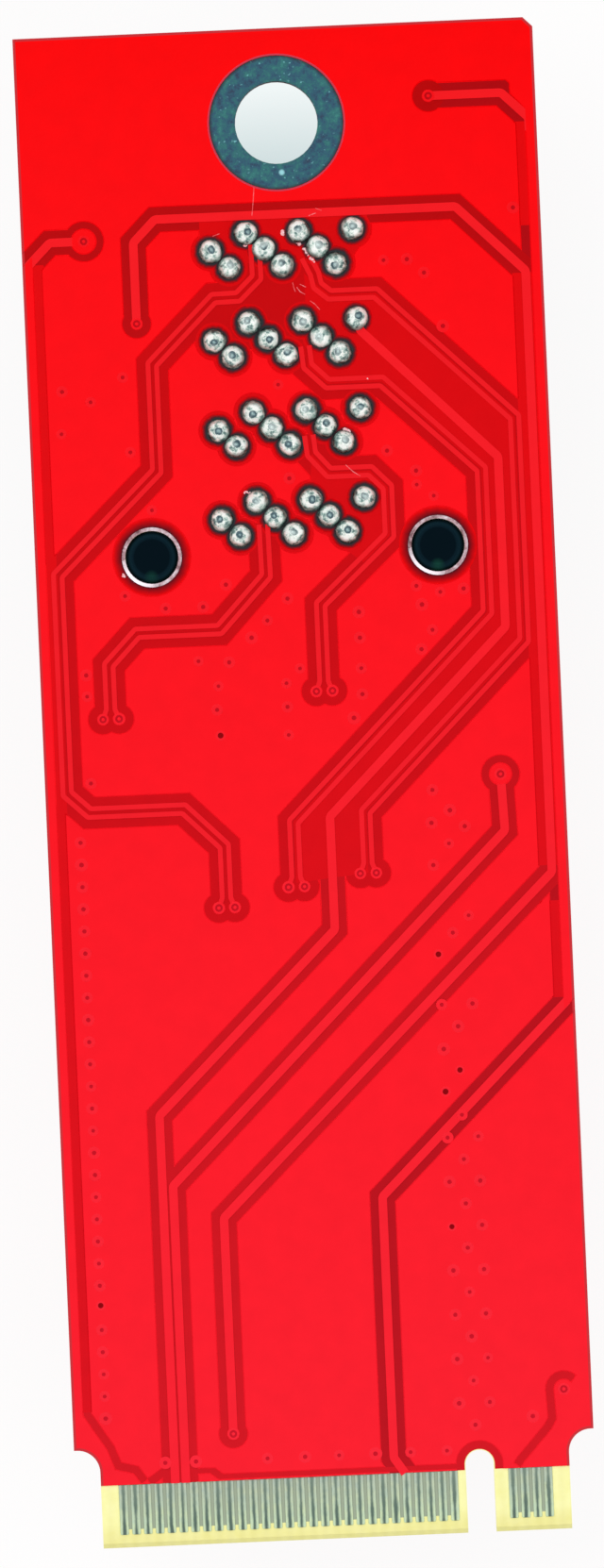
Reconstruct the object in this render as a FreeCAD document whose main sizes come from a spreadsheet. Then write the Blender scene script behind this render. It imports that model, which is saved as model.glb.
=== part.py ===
import FreeCAD, Part
import os
from math import cos, pi, sin

import Sketcher
from FreeCAD import Vector

# A 22 mm wide M-key edge-connector card that carries a 36-contact plug socket.
# The card lies level, solder side up, on the mouth of the socket:
# X runs across the card, +Y towards the screw hole, Z = 0 is the mouth's rim.

# ---- driving sizes, in millimetres ----------------------------------------------------

SIZES = {
    # card
    "card_width": "22",
    "card_length": "64",
    "laminate_thickness": "0.66",
    "foil_thickness": "0.035",
    "lacquer_thickness": "0.035",
    "corner_nick": "0.4",
    # tongue that goes into the edge socket
    "tongue_width": "19.85",
    "tongue_length": "4.2",
    "shoulder_radius": "0.95",
    "tip_bevel": "0.2",
    "notch_width": "1.2",
    "notch_depth": "3.5",
    "notch_offset": "6.125",
    "bare_tongue": "2.67",
    # gold fingers
    "finger_pitch": "0.5",
    "finger_width": "0.35",
    "finger_thickness": "0.05",
    "finger_tip_gap": "0.55",
    "finger_outer_offset": "9",
    # screw hole
    "screw_hole_diameter": "3.5",
    "screw_hole_inset": "4",
    "screw_land_diameter": "5.66",
    "plating_thickness": "0.05",
    # contacts and their solder joints
    "contact_pitch": "0.755",
    "row_pitch": "3.79",
    "first_row_inset": "9.34",
    "zigzag_step": "0.71",
    "tail_width": "0.3",
    "tail_reach": "0.6",
    "pin_hole_diameter": "0.6",
    "joint_diameter": "1",
    "joint_top_diameter": "0.52",
    "joint_height": "0.5",
    "blade_thickness": "0.25",
    "blade_gap": "0.84",
    "blade_tip_gap": "0.6",
    "blade_lead_in": "0.12",
    # socket housing
    "housing_width": "15",
    "housing_height": "12",
    "housing_back_margin": "2.0",
    "housing_front_margin": "3.55",
    "shroud_wall": "1.1",
    "mouth_recess": "4.3",
    "mouth_bevel": "0.3",
    "cavity_floor": "0.8",
    "nose_width": "9.2",
    "nose_thickness": "3.8",
    "card_slot_width": "1.1",
    "card_slot_length": "8.2",
    "card_slot_depth": "4.7",
    "contact_slit_depth": "0.3",
    "contact_clearance": "0.03",
    "trough_depth": "2.7",
    "trough_margin": "0.3",
    "latch_window_width": "2.2",
    "latch_window_height": "1.6",
    "latch_window_offset": "3.4",
    "latch_window_inset": "2.2",
    # locating pegs of the housing
    "peg_diameter": "2.17",
    "peg_spacing": "12.12",
    "peg_setback": "1.45",
    "peg_bevel": "0.26",
    "peg_clearance": "0.04",
    "peg_ring_width": "0.145",
    # printed lines
    "line_width": "0.32",
    "line_clearance": "0.35",
    "pair_line_width": "0.19",
    "pair_pitch": "0.36",
    "pair_clearance": "0.38",
    "opening_margin": "0.1",
    "halo_margin": "0.24",
}
CONTACTS_IN_ROW = 9
ROW_NAMES = "abcd"
PIN_HOLE_SIDES = 8  # what repeats is kept to few faces
JOINT_SIDES = 12

doc = FreeCAD.newDocument("adapter_card")
sheet = doc.addObject("Spreadsheet::Sheet", "Sizes")
for line, (alias, number) in enumerate(SIZES.items(), start=1):
    sheet.set("A%d" % line, alias)
    sheet.set("B%d" % line, number)
    sheet.setAlias("B%d" % line, alias)
doc.recompute()


def value(expression):
    """Number that an expression on the sheet gives now."""
    return float(sheet.evalExpression(expression))


# ---- levels and places shared by the pieces, as expressions on the sheet --------------

HALF_WIDTH = "(Sizes.card_width / 2)"
FAR_EDGE = "(Sizes.card_length / 2)"
TIP = "(-Sizes.card_length / 2)"
SHOULDER = "(Sizes.tongue_length - Sizes.card_length / 2)"
HALF_TONGUE = "(Sizes.tongue_width / 2)"
LACQUER_EDGE = "(Sizes.bare_tongue - Sizes.card_length / 2)"
SCREW_Y = "(Sizes.card_length / 2 - Sizes.screw_hole_inset)"
FIRST_ROW_Y = "(Sizes.card_length / 2 - Sizes.first_row_inset)"
LAST_ROW_Y = "(Sizes.card_length / 2 - Sizes.first_row_inset - 3 * Sizes.row_pitch)"
PEG_Y = "(%s - Sizes.peg_setback)" % LAST_ROW_Y
HOUSING_BACK_Y = "(%s + Sizes.housing_back_margin)" % FIRST_ROW_Y
HOUSING_FRONT_Y = "(%s - Sizes.housing_front_margin)" % LAST_ROW_Y

CAVITY_DEPTH = "(Sizes.housing_height - Sizes.trough_depth - Sizes.cavity_floor)"
BOARD_BOTTOM = "Sizes.housing_height"
LAMINATE_BOTTOM = "(Sizes.housing_height + Sizes.foil_thickness + Sizes.lacquer_thickness)"
LAMINATE_TOP = "(%s + Sizes.laminate_thickness)" % LAMINATE_BOTTOM
BOARD_TOP = "(%s + Sizes.foil_thickness + Sizes.lacquer_thickness)" % LAMINATE_TOP
JOINT_TOP = "(%s + Sizes.joint_height)" % LAMINATE_TOP

PEG_HOLE_RADIUS = "(Sizes.peg_diameter / 2 + Sizes.peg_clearance)"
PEG_RING_RADIUS = "(Sizes.peg_diameter / 2 + Sizes.peg_clearance + Sizes.peg_ring_width)"


def column_x(column):
    """X of a contact column, counted from 0 at the left."""
    return "(%g * Sizes.contact_pitch)" % (column - (CONTACTS_IN_ROW - 1) / 2)


def level(column):
    """Tails run middle, low, high, and again: the step of a column in the zigzag."""
    return (0, -1, 1)[column % 3]


def tail_y(row, column):
    """Y of a contact's tail."""
    return "(%s - %d * Sizes.row_pitch + %d * Sizes.zigzag_step)" % (FIRST_ROW_Y, row, level(column))


def slot_y(slot):
    """Y of a card slot's middle: slot 0 lies between rows a and b, slot 1 between c and d."""
    return "(%s - %g * Sizes.row_pitch)" % (FIRST_ROW_Y, 0.5 + 2 * slot)


# ---- helpers that draw with the sheet's sizes -----------------------------------------

def add_body(label):
    body = doc.addObject("PartDesign::Body", label)
    body.Label = label
    return body


def add_sketch(body, name, plane, height="0"):
    """Sketch on one of the body's own planes, raised along that plane's normal."""
    sketch = body.newObject("Sketcher::SketchObject", name)
    own_plane = [item for item in body.Origin.OriginFeatures if item.Role == plane][0]
    sketch.AttachmentSupport = [(own_plane, "")]
    sketch.MapMode = "FlatFace"
    sketch.setExpression("AttachmentOffset.Base.z", height)
    return sketch


def tie(sketch, kind, references, expression):
    """One sketch dimension that follows the sheet."""
    index = sketch.addConstraint(Sketcher.Constraint(kind, *references, value(expression)))
    sketch.setExpression("Constraints[%d]" % index, expression)


def draw_polygon(sketch, corners):
    """Closed chain of lines whose corners are pairs of expressions."""
    first = sketch.GeometryCount
    count = len(corners)
    places = [Vector(value(x), value(y), 0) for x, y in corners]
    for i in range(count):
        sketch.addGeometry(Part.LineSegment(places[i], places[(i + 1) % count]), False)
    for i in range(count):
        following = first + (i + 1) % count
        sketch.addConstraint(Sketcher.Constraint("Coincident", first + i, 2, following, 1))
    for i, (x, y) in enumerate(corners):
        tie(sketch, "DistanceX", (-1, 1, first + i, 1), x)
        tie(sketch, "DistanceY", (-1, 1, first + i, 1), y)


def draw_box(sketch, left, right, front, back):
    draw_polygon(sketch, [(left, front), (right, front), (right, back), (left, back)])


def draw_regular(sketch, x, y, radius, sides):
    """Regular polygon with a flat side to each axis."""
    corners = []
    for i in range(sides):
        turn = (2 * i + 1) * pi / sides
        corners.append(("%s + %.6f * %s" % (x, cos(turn), radius), "%s + %.6f * %s" % (y, sin(turn), radius)))
    draw_polygon(sketch, corners)


def draw_circle(sketch, x, y, radius):
    circle = Part.Circle(Vector(value(x), value(y), 0), Vector(0, 0, 1), value(radius))
    index = sketch.addGeometry(circle, False)
    tie(sketch, "DistanceX", (-1, 1, index, 3), x)
    tie(sketch, "DistanceY", (-1, 1, index, 3), y)
    tie(sketch, "Radius", (index,), radius)


def add_pad(body, name, sketch, length):
    pad = body.newObject("PartDesign::Pad", name)
    pad.Profile = sketch
    pad.setExpression("Length", length)
    doc.recompute()
    return pad


def add_pocket(body, name, sketch, depth, upwards):
    """Pocket that must take material away, up or down from its sketch."""
    before = body.Tip.Shape.Volume
    pocket = body.newObject("PartDesign::Pocket", name)
    pocket.Profile = sketch
    pocket.Reversed = upwards
    pocket.setExpression("Length", depth)
    doc.recompute()
    if not pocket.Shape.Volume < before:
        raise RuntimeError("pocket %s takes nothing away" % name)
    return pocket


def add_pattern(body, name, feature, sketch, runs):
    """Copies of a feature in one or two directions; each run is (axis, length, copies)."""
    pattern = body.newObject("PartDesign::MultiTransform", name)
    pattern.Originals = [feature]
    steps = []
    for axis, length, copies in runs:
        step = doc.addObject("PartDesign::LinearPattern", "%s_%s" % (name, axis))
        step.Direction = (sketch, [axis])
        step.Reversed = length.startswith("-")
        step.setExpression("Length", length.lstrip("-"))
        step.Occurrences = copies
        steps.append(step)
    pattern.Transformations = steps
    body.Tip = pattern
    doc.recompute()
    return pattern


def edge_names(shape, wanted):
    """Names of the edges whose two end points both pass a test."""
    return ["Edge%d" % (i + 1) for i, edge in enumerate(shape.Edges)
            if len(edge.Vertexes) == 2 and all(wanted(v.Point) for v in edge.Vertexes)]


def add_edge_feature(body, kind, name, base, names, size_property, size):
    feature = body.newObject("PartDesign::" + kind, name)
    feature.Base = (base, names)
    feature.setExpression(size_property, size)
    doc.recompute()
    return feature


def near(a, b):
    return abs(a - b) < 1e-6


# ---- laminate: outline, key notch, bevelled tip, holes --------------------------------

def make_laminate():
    body = add_body("laminate")
    outline = add_sketch(body, "card_outline", "XY_Plane", LAMINATE_BOTTOM)
    draw_polygon(outline, [
        ("-" + HALF_TONGUE, TIP), (HALF_TONGUE, TIP), (HALF_TONGUE, SHOULDER), (HALF_WIDTH, SHOULDER),
        (HALF_WIDTH, FAR_EDGE), ("-" + HALF_WIDTH, FAR_EDGE),
        ("-" + HALF_WIDTH, SHOULDER), ("-" + HALF_TONGUE, SHOULDER)])
    card = add_pad(body, "card_pad", outline, "Sizes.laminate_thickness")

    shoulder, half_tongue = value(SHOULDER), value(HALF_TONGUE)
    inner_corners = edge_names(
        card.Shape, lambda p: near(p.y, shoulder) and near(abs(p.x), half_tongue))
    shoulder_width = "(Sizes.card_width - Sizes.tongue_width) / 2"
    shoulders = add_edge_feature(
        body, "Fillet", "shoulder_fillets", card, inner_corners, "Radius",
        "min(Sizes.shoulder_radius; 0.9 * abs(%s))" % shoulder_width)

    half_width, far_edge = value(HALF_WIDTH), value(FAR_EDGE)
    corner = edge_names(shoulders.Shape, lambda p: near(p.x, half_width) and near(p.y, far_edge))
    add_edge_feature(body, "Chamfer", "corner_nick", shoulders, corner, "Size", "Sizes.corner_nick")

    notch = add_sketch(body, "notch_outline", "XY_Plane", LAMINATE_BOTTOM)
    left = "(Sizes.notch_offset - Sizes.notch_width / 2)"
    right = "(Sizes.notch_offset + Sizes.notch_width / 2)"
    notch_centre_y = "(%s + Sizes.notch_depth - Sizes.notch_width / 2)" % TIP
    draw_box(notch, left, right, "(%s - 1)" % TIP, notch_centre_y)
    add_pocket(body, "notch_slot", notch, "Sizes.laminate_thickness", True)
    notch_end = add_sketch(body, "notch_end_outline", "XY_Plane", LAMINATE_BOTTOM)
    draw_circle(notch_end, "Sizes.notch_offset", notch_centre_y, "Sizes.notch_width / 2")
    notched = add_pocket(body, "notch_end", notch_end, "Sizes.laminate_thickness", True)
    blank = notched.Shape.copy()

    tip = value(TIP)
    tip_edges = edge_names(notched.Shape, lambda p: near(p.y, tip))
    tip_edges = [name for name in tip_edges
                 if abs(notched.Shape.getElement(name).tangentAt(0).x) > 0.9]
    add_edge_feature(body, "Chamfer", "tip_bevel", notched, tip_edges, "Size", "Sizes.tip_bevel")

    holes = add_sketch(body, "large_holes_outline", "XY_Plane", LAMINATE_BOTTOM)
    draw_circle(holes, "0", SCREW_Y, "Sizes.screw_hole_diameter / 2")
    for side in ("-", ""):
        draw_circle(holes, side + "(Sizes.peg_spacing / 2)", PEG_Y, PEG_HOLE_RADIUS)
    add_pocket(body, "large_holes", holes, "Sizes.laminate_thickness", True)

    pins = add_sketch(body, "pin_holes_outline", "XY_Plane", LAMINATE_BOTTOM)
    for column in range(3):
        draw_regular(pins, column_x(column), tail_y(0, column), "Sizes.pin_hole_diameter / 2",
                     PIN_HOLE_SIDES)
    pin_holes = add_pocket(body, "pin_holes", pins, "Sizes.laminate_thickness", True)
    groups = CONTACTS_IN_ROW // 3
    add_pattern(body, "pin_field", pin_holes, pins, [
        ("H_Axis", "%d * Sizes.contact_pitch" % (3 * (groups - 1)), groups),
        ("V_Axis", "-%d * Sizes.row_pitch" % (len(ROW_NAMES) - 1), len(ROW_NAMES))])
    return body, blank


# ---- lacquer: a sheet on each side, raised where copper lies under it -----------------

def parallel(route, distance):
    """The route moved sideways with mitred corners; a positive distance is to its left."""
    moved = []
    for i, point in enumerate(route):
        legs = []
        if i > 0:
            legs.append((point - route[i - 1]).normalize())
        if i < len(route) - 1:
            legs.append((route[i + 1] - point).normalize())
        along = sum(legs, Vector()).normalize()
        across = Vector(-along.y, along.x, 0)
        moved.append(point + across * (distance / along.dot(legs[0])))
    return moved


def polygon(points):
    return Part.Face(Part.makePolygon(list(points) + [points[0]]))


def strip(route, half_width, capped=False):
    """Face that follows a route; a capped one runs past both ends with bevelled corners."""
    left, right = parallel(route, half_width), parallel(route, -half_width)
    if not capped:
        return polygon(left + right[::-1])
    outline = []
    for side, inner, outer in ((left, route[-2], route[-1]), (right[::-1], route[1], route[0])):
        along = (outer - inner).normalize() * half_width
        across = (side[-1] - outer)
        outline += side
        outline += [outer + along + across * 0.414, outer + along - across * 0.414]
    return polygon(outline)


def disc(centre, radius):
    return Part.Face(Part.Wire(Part.makeCircle(radius, centre)))


def small_disc(centre, radius, sides=12):
    """Small disc with few faces, for what is only a few hundredths deep."""
    turns = [(2 * i + 1) * pi / sides for i in range(sides)]
    return polygon([centre + Vector(cos(turn), sin(turn), 0) * radius for turn in turns])


def path(*places):
    return [Vector(x, y, 0) for x, y in places]


def pin(row, column):
    return Vector(value(column_x(column)), value(tail_y(row, column)), 0)


class Pair:
    """Two lines side by side from a contact row to a pair of small vias."""

    def __init__(self, route, via_spread=0.7, via_drop=0.42):
        self.route = route
        end = route[-1]
        drop = Vector(0, -via_drop, 0)
        self.vias = [end + drop + Vector(side * via_spread / 2, 0, 0) for side in (-1, 1)]

    def channel(self):
        half = value("Sizes.pair_pitch / 2 + Sizes.pair_line_width / 2 + Sizes.pair_clearance")
        return [strip(self.route, half), strip(self.vias, half * 0.95, capped=True)]

    def lines(self):
        half = value("Sizes.pair_line_width / 2")
        down = self.route[-1].y < self.route[-2].y
        faces = []
        for side, via in zip((-1, 1), self.vias):
            shift = side * value("Sizes.pair_pitch / 2")
            faces.append(strip(parallel(self.route, shift if down else -shift) + [via], half))
        return faces


def solder_side_layout():
    """Single lines, line pairs and bare areas of the solder side."""
    far, tip, half = value(FAR_EDGE), value(TIP), value(HALF_WIDTH)
    inner_lane, outer_lane = half - 0.71, half - 0.31
    left_lane, left_strip = 0.92 - half, 0.32 - half
    edge = value(LACQUER_EDGE)

    upper_line = path((-6.27, far - 12.26), (-6.27, far - 8.83), (-5.32, far - 7.88), (7.41, far - 7.88),
                      (inner_lane, far - 10.72), (inner_lane, tip + 27.81), (-4.23, tip + 13.78),
                      (-4.23, tip + 4.63))
    outer_line = path((6.47, far - 3.15), (9.55, far - 3.15), (outer_lane, far - 4.25),
                      (outer_lane, tip + 22.34), (2.51, tip + 14.38), (2.51, tip + 3.33), (3, edge))
    left_line = path((-8.36, far - 8.68), (-9.8, far - 8.68), (left_strip, far - 9.52),
                     (left_strip, tip + 5.42), (-9.5, tip + 4.13), (-9.35, tip + 3.23), (-9, edge))
    middle_line = path((8.31, tip + 32.04), (8.36, tip + 29.65), (-6.32, tip + 15.22), (-6.32, edge))
    last_pin = pin(1, CONTACTS_IN_ROW - 1)
    pin_line = [last_pin] + path((3.18, far - 12.96), (8.76, far - 18.53), (8.76, far - 25.74),
                                 (0.99, tip + 30.55), (0.99, tip + 25.77), (-6.77, tip + 18.21), (-6.77, edge))
    singles = [upper_line, outer_line, left_line, middle_line, pin_line]

    left_pair = Pair(path((-1.42, far - 9.72), (-1.41, far - 10.72), (-1.94, far - 11.31), (-2.98, far - 11.33),
                          (-5.69, far - 14), (-5.69, far - 18.53), (left_lane, far - 22.71),
                          (left_lane, tip + 31.94), (-9.15, tip + 31.14), (-5.17, tip + 31.14),
                          (-3.53, tip + 29.5), (-3.53, tip + 27.31)))
    right_pair = Pair(path((0.98, far - 9.77), (1.39, far - 10.47), (1.49, far - 11.02), (1.94, far - 11.39),
                           (3.88, far - 11.39), (9.53, far - 16.84), (9.53, far - 26.34),
                           (2.51, tip + 30.7), (2.51, tip + 28.51)))
    inner_pair = Pair(path((0.8, far - 13.5), (0.88, far - 14.35), (1.69, far - 15.14), (3.98, far - 15.14),
                           (8.03, far - 19.02), (8.03, far - 25.09), (-0.55, tip + 30.4),
                           (-0.55, tip + 28.06)))
    hook_pair = Pair(path((0.8, far - 17.28), (0.88, far - 18.08), (1.59, far - 18.9), (3.33, far - 18.9),
                          (4.03, far - 19.62), (4.03, far - 21.66), (0.99, far - 24.45), (0.99, far - 27.71)))
    corner_pair = Pair(path((-1.29, far - 20.96), (-1.26, far - 23.15), (-3.33, far - 25.34),
                            (-6.82, far - 25.34), (-8.08, far - 26.64), (-8.08, far - 28.51)))
    pairs = [left_pair, right_pair, inner_pair, hook_pair, corner_pair]

    bare = [
        polygon(right_pair.route[3:] + inner_pair.route[:1:-1]),
        polygon(path((-4.38, far - 12.71), (-2.98, far - 11.31), (-1.29, far - 10.72), (1.39, far - 10.72),
                     (3.88, far - 11.39), (3.88, far - 15.14), (1.69, far - 15.14), (0.9, far - 14.3),
                     (-0.2, far - 13.8), (-2.19, far - 13.4), (-3.68, far - 13.2))),
        polygon(hook_pair.route[1:6] + path((2.89, far - 22.76), (1.99, far - 22.06), (0.99, far - 21.16),
                                            (0.8, far - 19.17))),
        polygon(path((-2.39, far - 7.88), (3.73, far - 7.88), (3.58, far - 9.03), (-2.39, far - 9.03))),
        strip(path((10.45, tip + 6.22), (9.85, tip + 6.52), (9.35, tip + 6.12), (9.25, tip + 4.43),
                   (7.66, tip + 2.99)), 0.15),
        polygon(path((-5.97, tip + 3.23), (-5.07, tip + 3.23), (-4.7, edge + 0.29), (5.4, edge + 0.29), (5.4, edge),
                     (-4.9, edge), (-5.27, tip + 2.99), (-5.97, tip + 2.99))),
        small_disc(upper_line[0], 0.6), small_disc(upper_line[-1], 0.6), small_disc(outer_line[0], 0.68),
        small_disc(left_line[0], 0.83), small_disc(middle_line[0], 0.8)]
    wide_pads = [small_disc(left_line[0], 0.52), small_disc(middle_line[0], 0.47)]
    return singles, pairs, bare, wide_pads


def component_side_layout():
    """The pairs come through their vias and run straight down to the fingers."""
    far, tip, edge = value(FAR_EDGE), value(TIP), value(LACQUER_EDGE)
    starts = [(-8.08, far - 28.93), (-3.53, tip + 26.9), (-0.55, tip + 27.64), (0.99, far - 28.13),
              (2.51, tip + 28.09)]
    return [path((x, y), (x, edge)) for x, y in starts]


def joint_groups():
    """Tails that stand in one slanting line share an opening in the lacquer."""
    for row in range(len(ROW_NAMES)):
        yield [pin(row, 0), pin(row, 1)]
        for first in range(2, CONTACTS_IN_ROW - 2, 3):
            yield [pin(row, first), pin(row, first + 2)]
        lone = pin(row, CONTACTS_IN_ROW - 1)
        yield [lone + Vector(-0.01, 0, 0), lone + Vector(0.01, 0, 0)]


def flat_faces(shape):
    return [face for face in shape.Faces if face.Area > 1e-4]


def lacquer_shape(blank, copper_lines, bare_areas, openings, downwards):
    """Sheet over the whole side, with a raised field and raised lines over the copper."""
    laminate_face = [face for face in blank.Faces if near(face.BoundBox.ZLength, 0)][0]
    outline = laminate_face.translated(Vector(0, 0, -laminate_face.BoundBox.ZMin))
    notch_end = Vector(value("Sizes.notch_offset"),
                       value(TIP + " + Sizes.notch_depth - Sizes.notch_width / 2"), 0)
    tongue = Part.makePlane(value("Sizes.card_width"), value("Sizes.bare_tongue") + 1,
                            Vector(-value(HALF_WIDTH), value(TIP) - 1, 0))
    notch_radius = value("Sizes.notch_width / 2")
    cuts = openings + [tongue, small_disc(notch_end, notch_radius + 0.04, 16)]
    sheet_face = outline.cut(cuts)
    field = outline.cut(cuts + bare_areas + [small_disc(notch_end, notch_radius + 0.36, 16)])
    lines = [face for line in copper_lines for face in flat_faces(line.cut(cuts))]
    base = value("Sizes.lacquer_thickness")
    relief = value("Sizes.foil_thickness")
    raised = [face.extrude(Vector(0, 0, base + relief)) for face in flat_faces(field) + lines]
    solid = sheet_face.extrude(Vector(0, 0, base)).fuse(raised).removeSplitter()
    if downwards:
        solid = solid.mirror(Vector(), Vector(0, 0, 1))
    return solid


def round_openings():
    return [disc(Vector(0, value(SCREW_Y), 0), value("Sizes.screw_land_diameter / 2") + 0.03),
            disc(Vector(-value("Sizes.peg_spacing / 2"), value(PEG_Y), 0), value(PEG_RING_RADIUS) + 0.03),
            disc(Vector(value("Sizes.peg_spacing / 2"), value(PEG_Y), 0), value(PEG_RING_RADIUS) + 0.03)]


def add_lacquer(label, shape, height):
    feature = doc.addObject("Part::Feature", label)
    feature.Label = label
    feature.Shape = shape.Solids[0]
    feature.Placement.Base = Vector(0, 0, value(height))
    return feature


def make_solder_side_lacquer(blank):
    singles, pairs, bare, wide_pads = solder_side_layout()
    half_line = value("Sizes.line_width / 2")
    lines = [strip(route, half_line) for route in singles]
    lines += [face for pair in pairs for face in pair.lines()] + wide_pads
    bare += [strip(route, half_line + value("Sizes.line_clearance")) for route in singles]
    bare += [face for pair in pairs for face in pair.channel()]
    opening_radius = value("Sizes.joint_diameter / 2 + Sizes.opening_margin")
    halo_radius = value("Sizes.joint_diameter / 2 + Sizes.halo_margin")
    openings = [strip(group, opening_radius, capped=True) for group in joint_groups()]
    bare += [strip(group, halo_radius, capped=True) for group in joint_groups()]
    bare += [small_disc(Vector(side * value("Sizes.peg_spacing / 2"), value(PEG_Y), 0),
                        value(PEG_RING_RADIUS + " + Sizes.halo_margin"), 16) for side in (-1, 1)]
    shape = lacquer_shape(blank, lines, bare, openings + round_openings(), downwards=False)
    return add_lacquer("lacquer_solder_side", shape, LAMINATE_TOP)


def make_component_side_lacquer(blank):
    pairs = component_side_layout()
    half = value("Sizes.pair_pitch / 2 + Sizes.pair_line_width / 2 + Sizes.pair_clearance")
    half_line = value("Sizes.pair_line_width / 2")
    lines = [strip(parallel(route, side * value("Sizes.pair_pitch / 2")), half_line)
             for route in pairs for side in (-1, 1)]
    bare = [strip(route, half, capped=True) for route in pairs]
    rows = []
    reach = value("Sizes.zigzag_step + Sizes.joint_diameter / 2")
    for row in range(len(ROW_NAMES)):
        middle = value(tail_y(row, 0))
        ends = [Vector(value(column_x(column)), middle, 0) for column in (0, CONTACTS_IN_ROW - 1)]
        rows.append(strip(ends, reach, capped=True))
    shape = lacquer_shape(blank, lines, bare, rows + round_openings(), downwards=True)
    return add_lacquer("lacquer_component_side", shape, LAMINATE_BOTTOM)


# ---- plated parts: screw lands, peg rings, fingers ------------------------------------

def add_land(label, x, y, bore, rim, bottom):
    """Flat plated ring on the laminate, round a hole at x, y."""
    body = add_body(label)
    outline = add_sketch(body, label + "_outline", "XY_Plane", bottom)
    draw_circle(outline, "0", "0", rim)
    draw_circle(outline, "0", "0", bore)
    add_pad(body, label + "_pad", outline, "Sizes.plating_thickness")
    body.setExpression("Placement.Base.x", x)
    body.setExpression("Placement.Base.y", y)
    return body


def make_screw_land(label, bottom):
    return add_land(label, "0", SCREW_Y, "Sizes.screw_hole_diameter / 2",
                    "Sizes.screw_land_diameter / 2", bottom)


def make_peg_ring(label, side):
    return add_land(label, side + "(Sizes.peg_spacing / 2)", PEG_Y, PEG_HOLE_RADIUS, PEG_RING_RADIUS,
                    LAMINATE_TOP)


def make_fingers(label, first, groups, bottom):
    """One row of fingers: each group is (how many pitches in, how many fingers)."""
    boxes = []
    for skipped, count in groups:
        for index in range(skipped, skipped + count):
            finger = doc.addObject("Part::Box", "%s_%d" % (label, index))
            finger.setExpression("Length", "Sizes.finger_width")
            finger.setExpression("Width", "Sizes.bare_tongue - Sizes.finger_tip_gap")
            finger.setExpression("Height", "Sizes.finger_thickness")
            finger.setExpression("Placement.Base.x", "%s + %d * Sizes.finger_pitch - Sizes.finger_width / 2"
                                 % (first, index))
            finger.setExpression("Placement.Base.y", TIP + " + Sizes.finger_tip_gap")
            finger.setExpression("Placement.Base.z", bottom)
            boxes.append(finger)
    return add_group(label, boxes)


def add_group(label, members):
    group = doc.addObject("Part::Compound", label)
    group.Label = label
    group.Links = members
    return group


# ---- socket housing with its two card noses and locating pegs -------------------------

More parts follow.
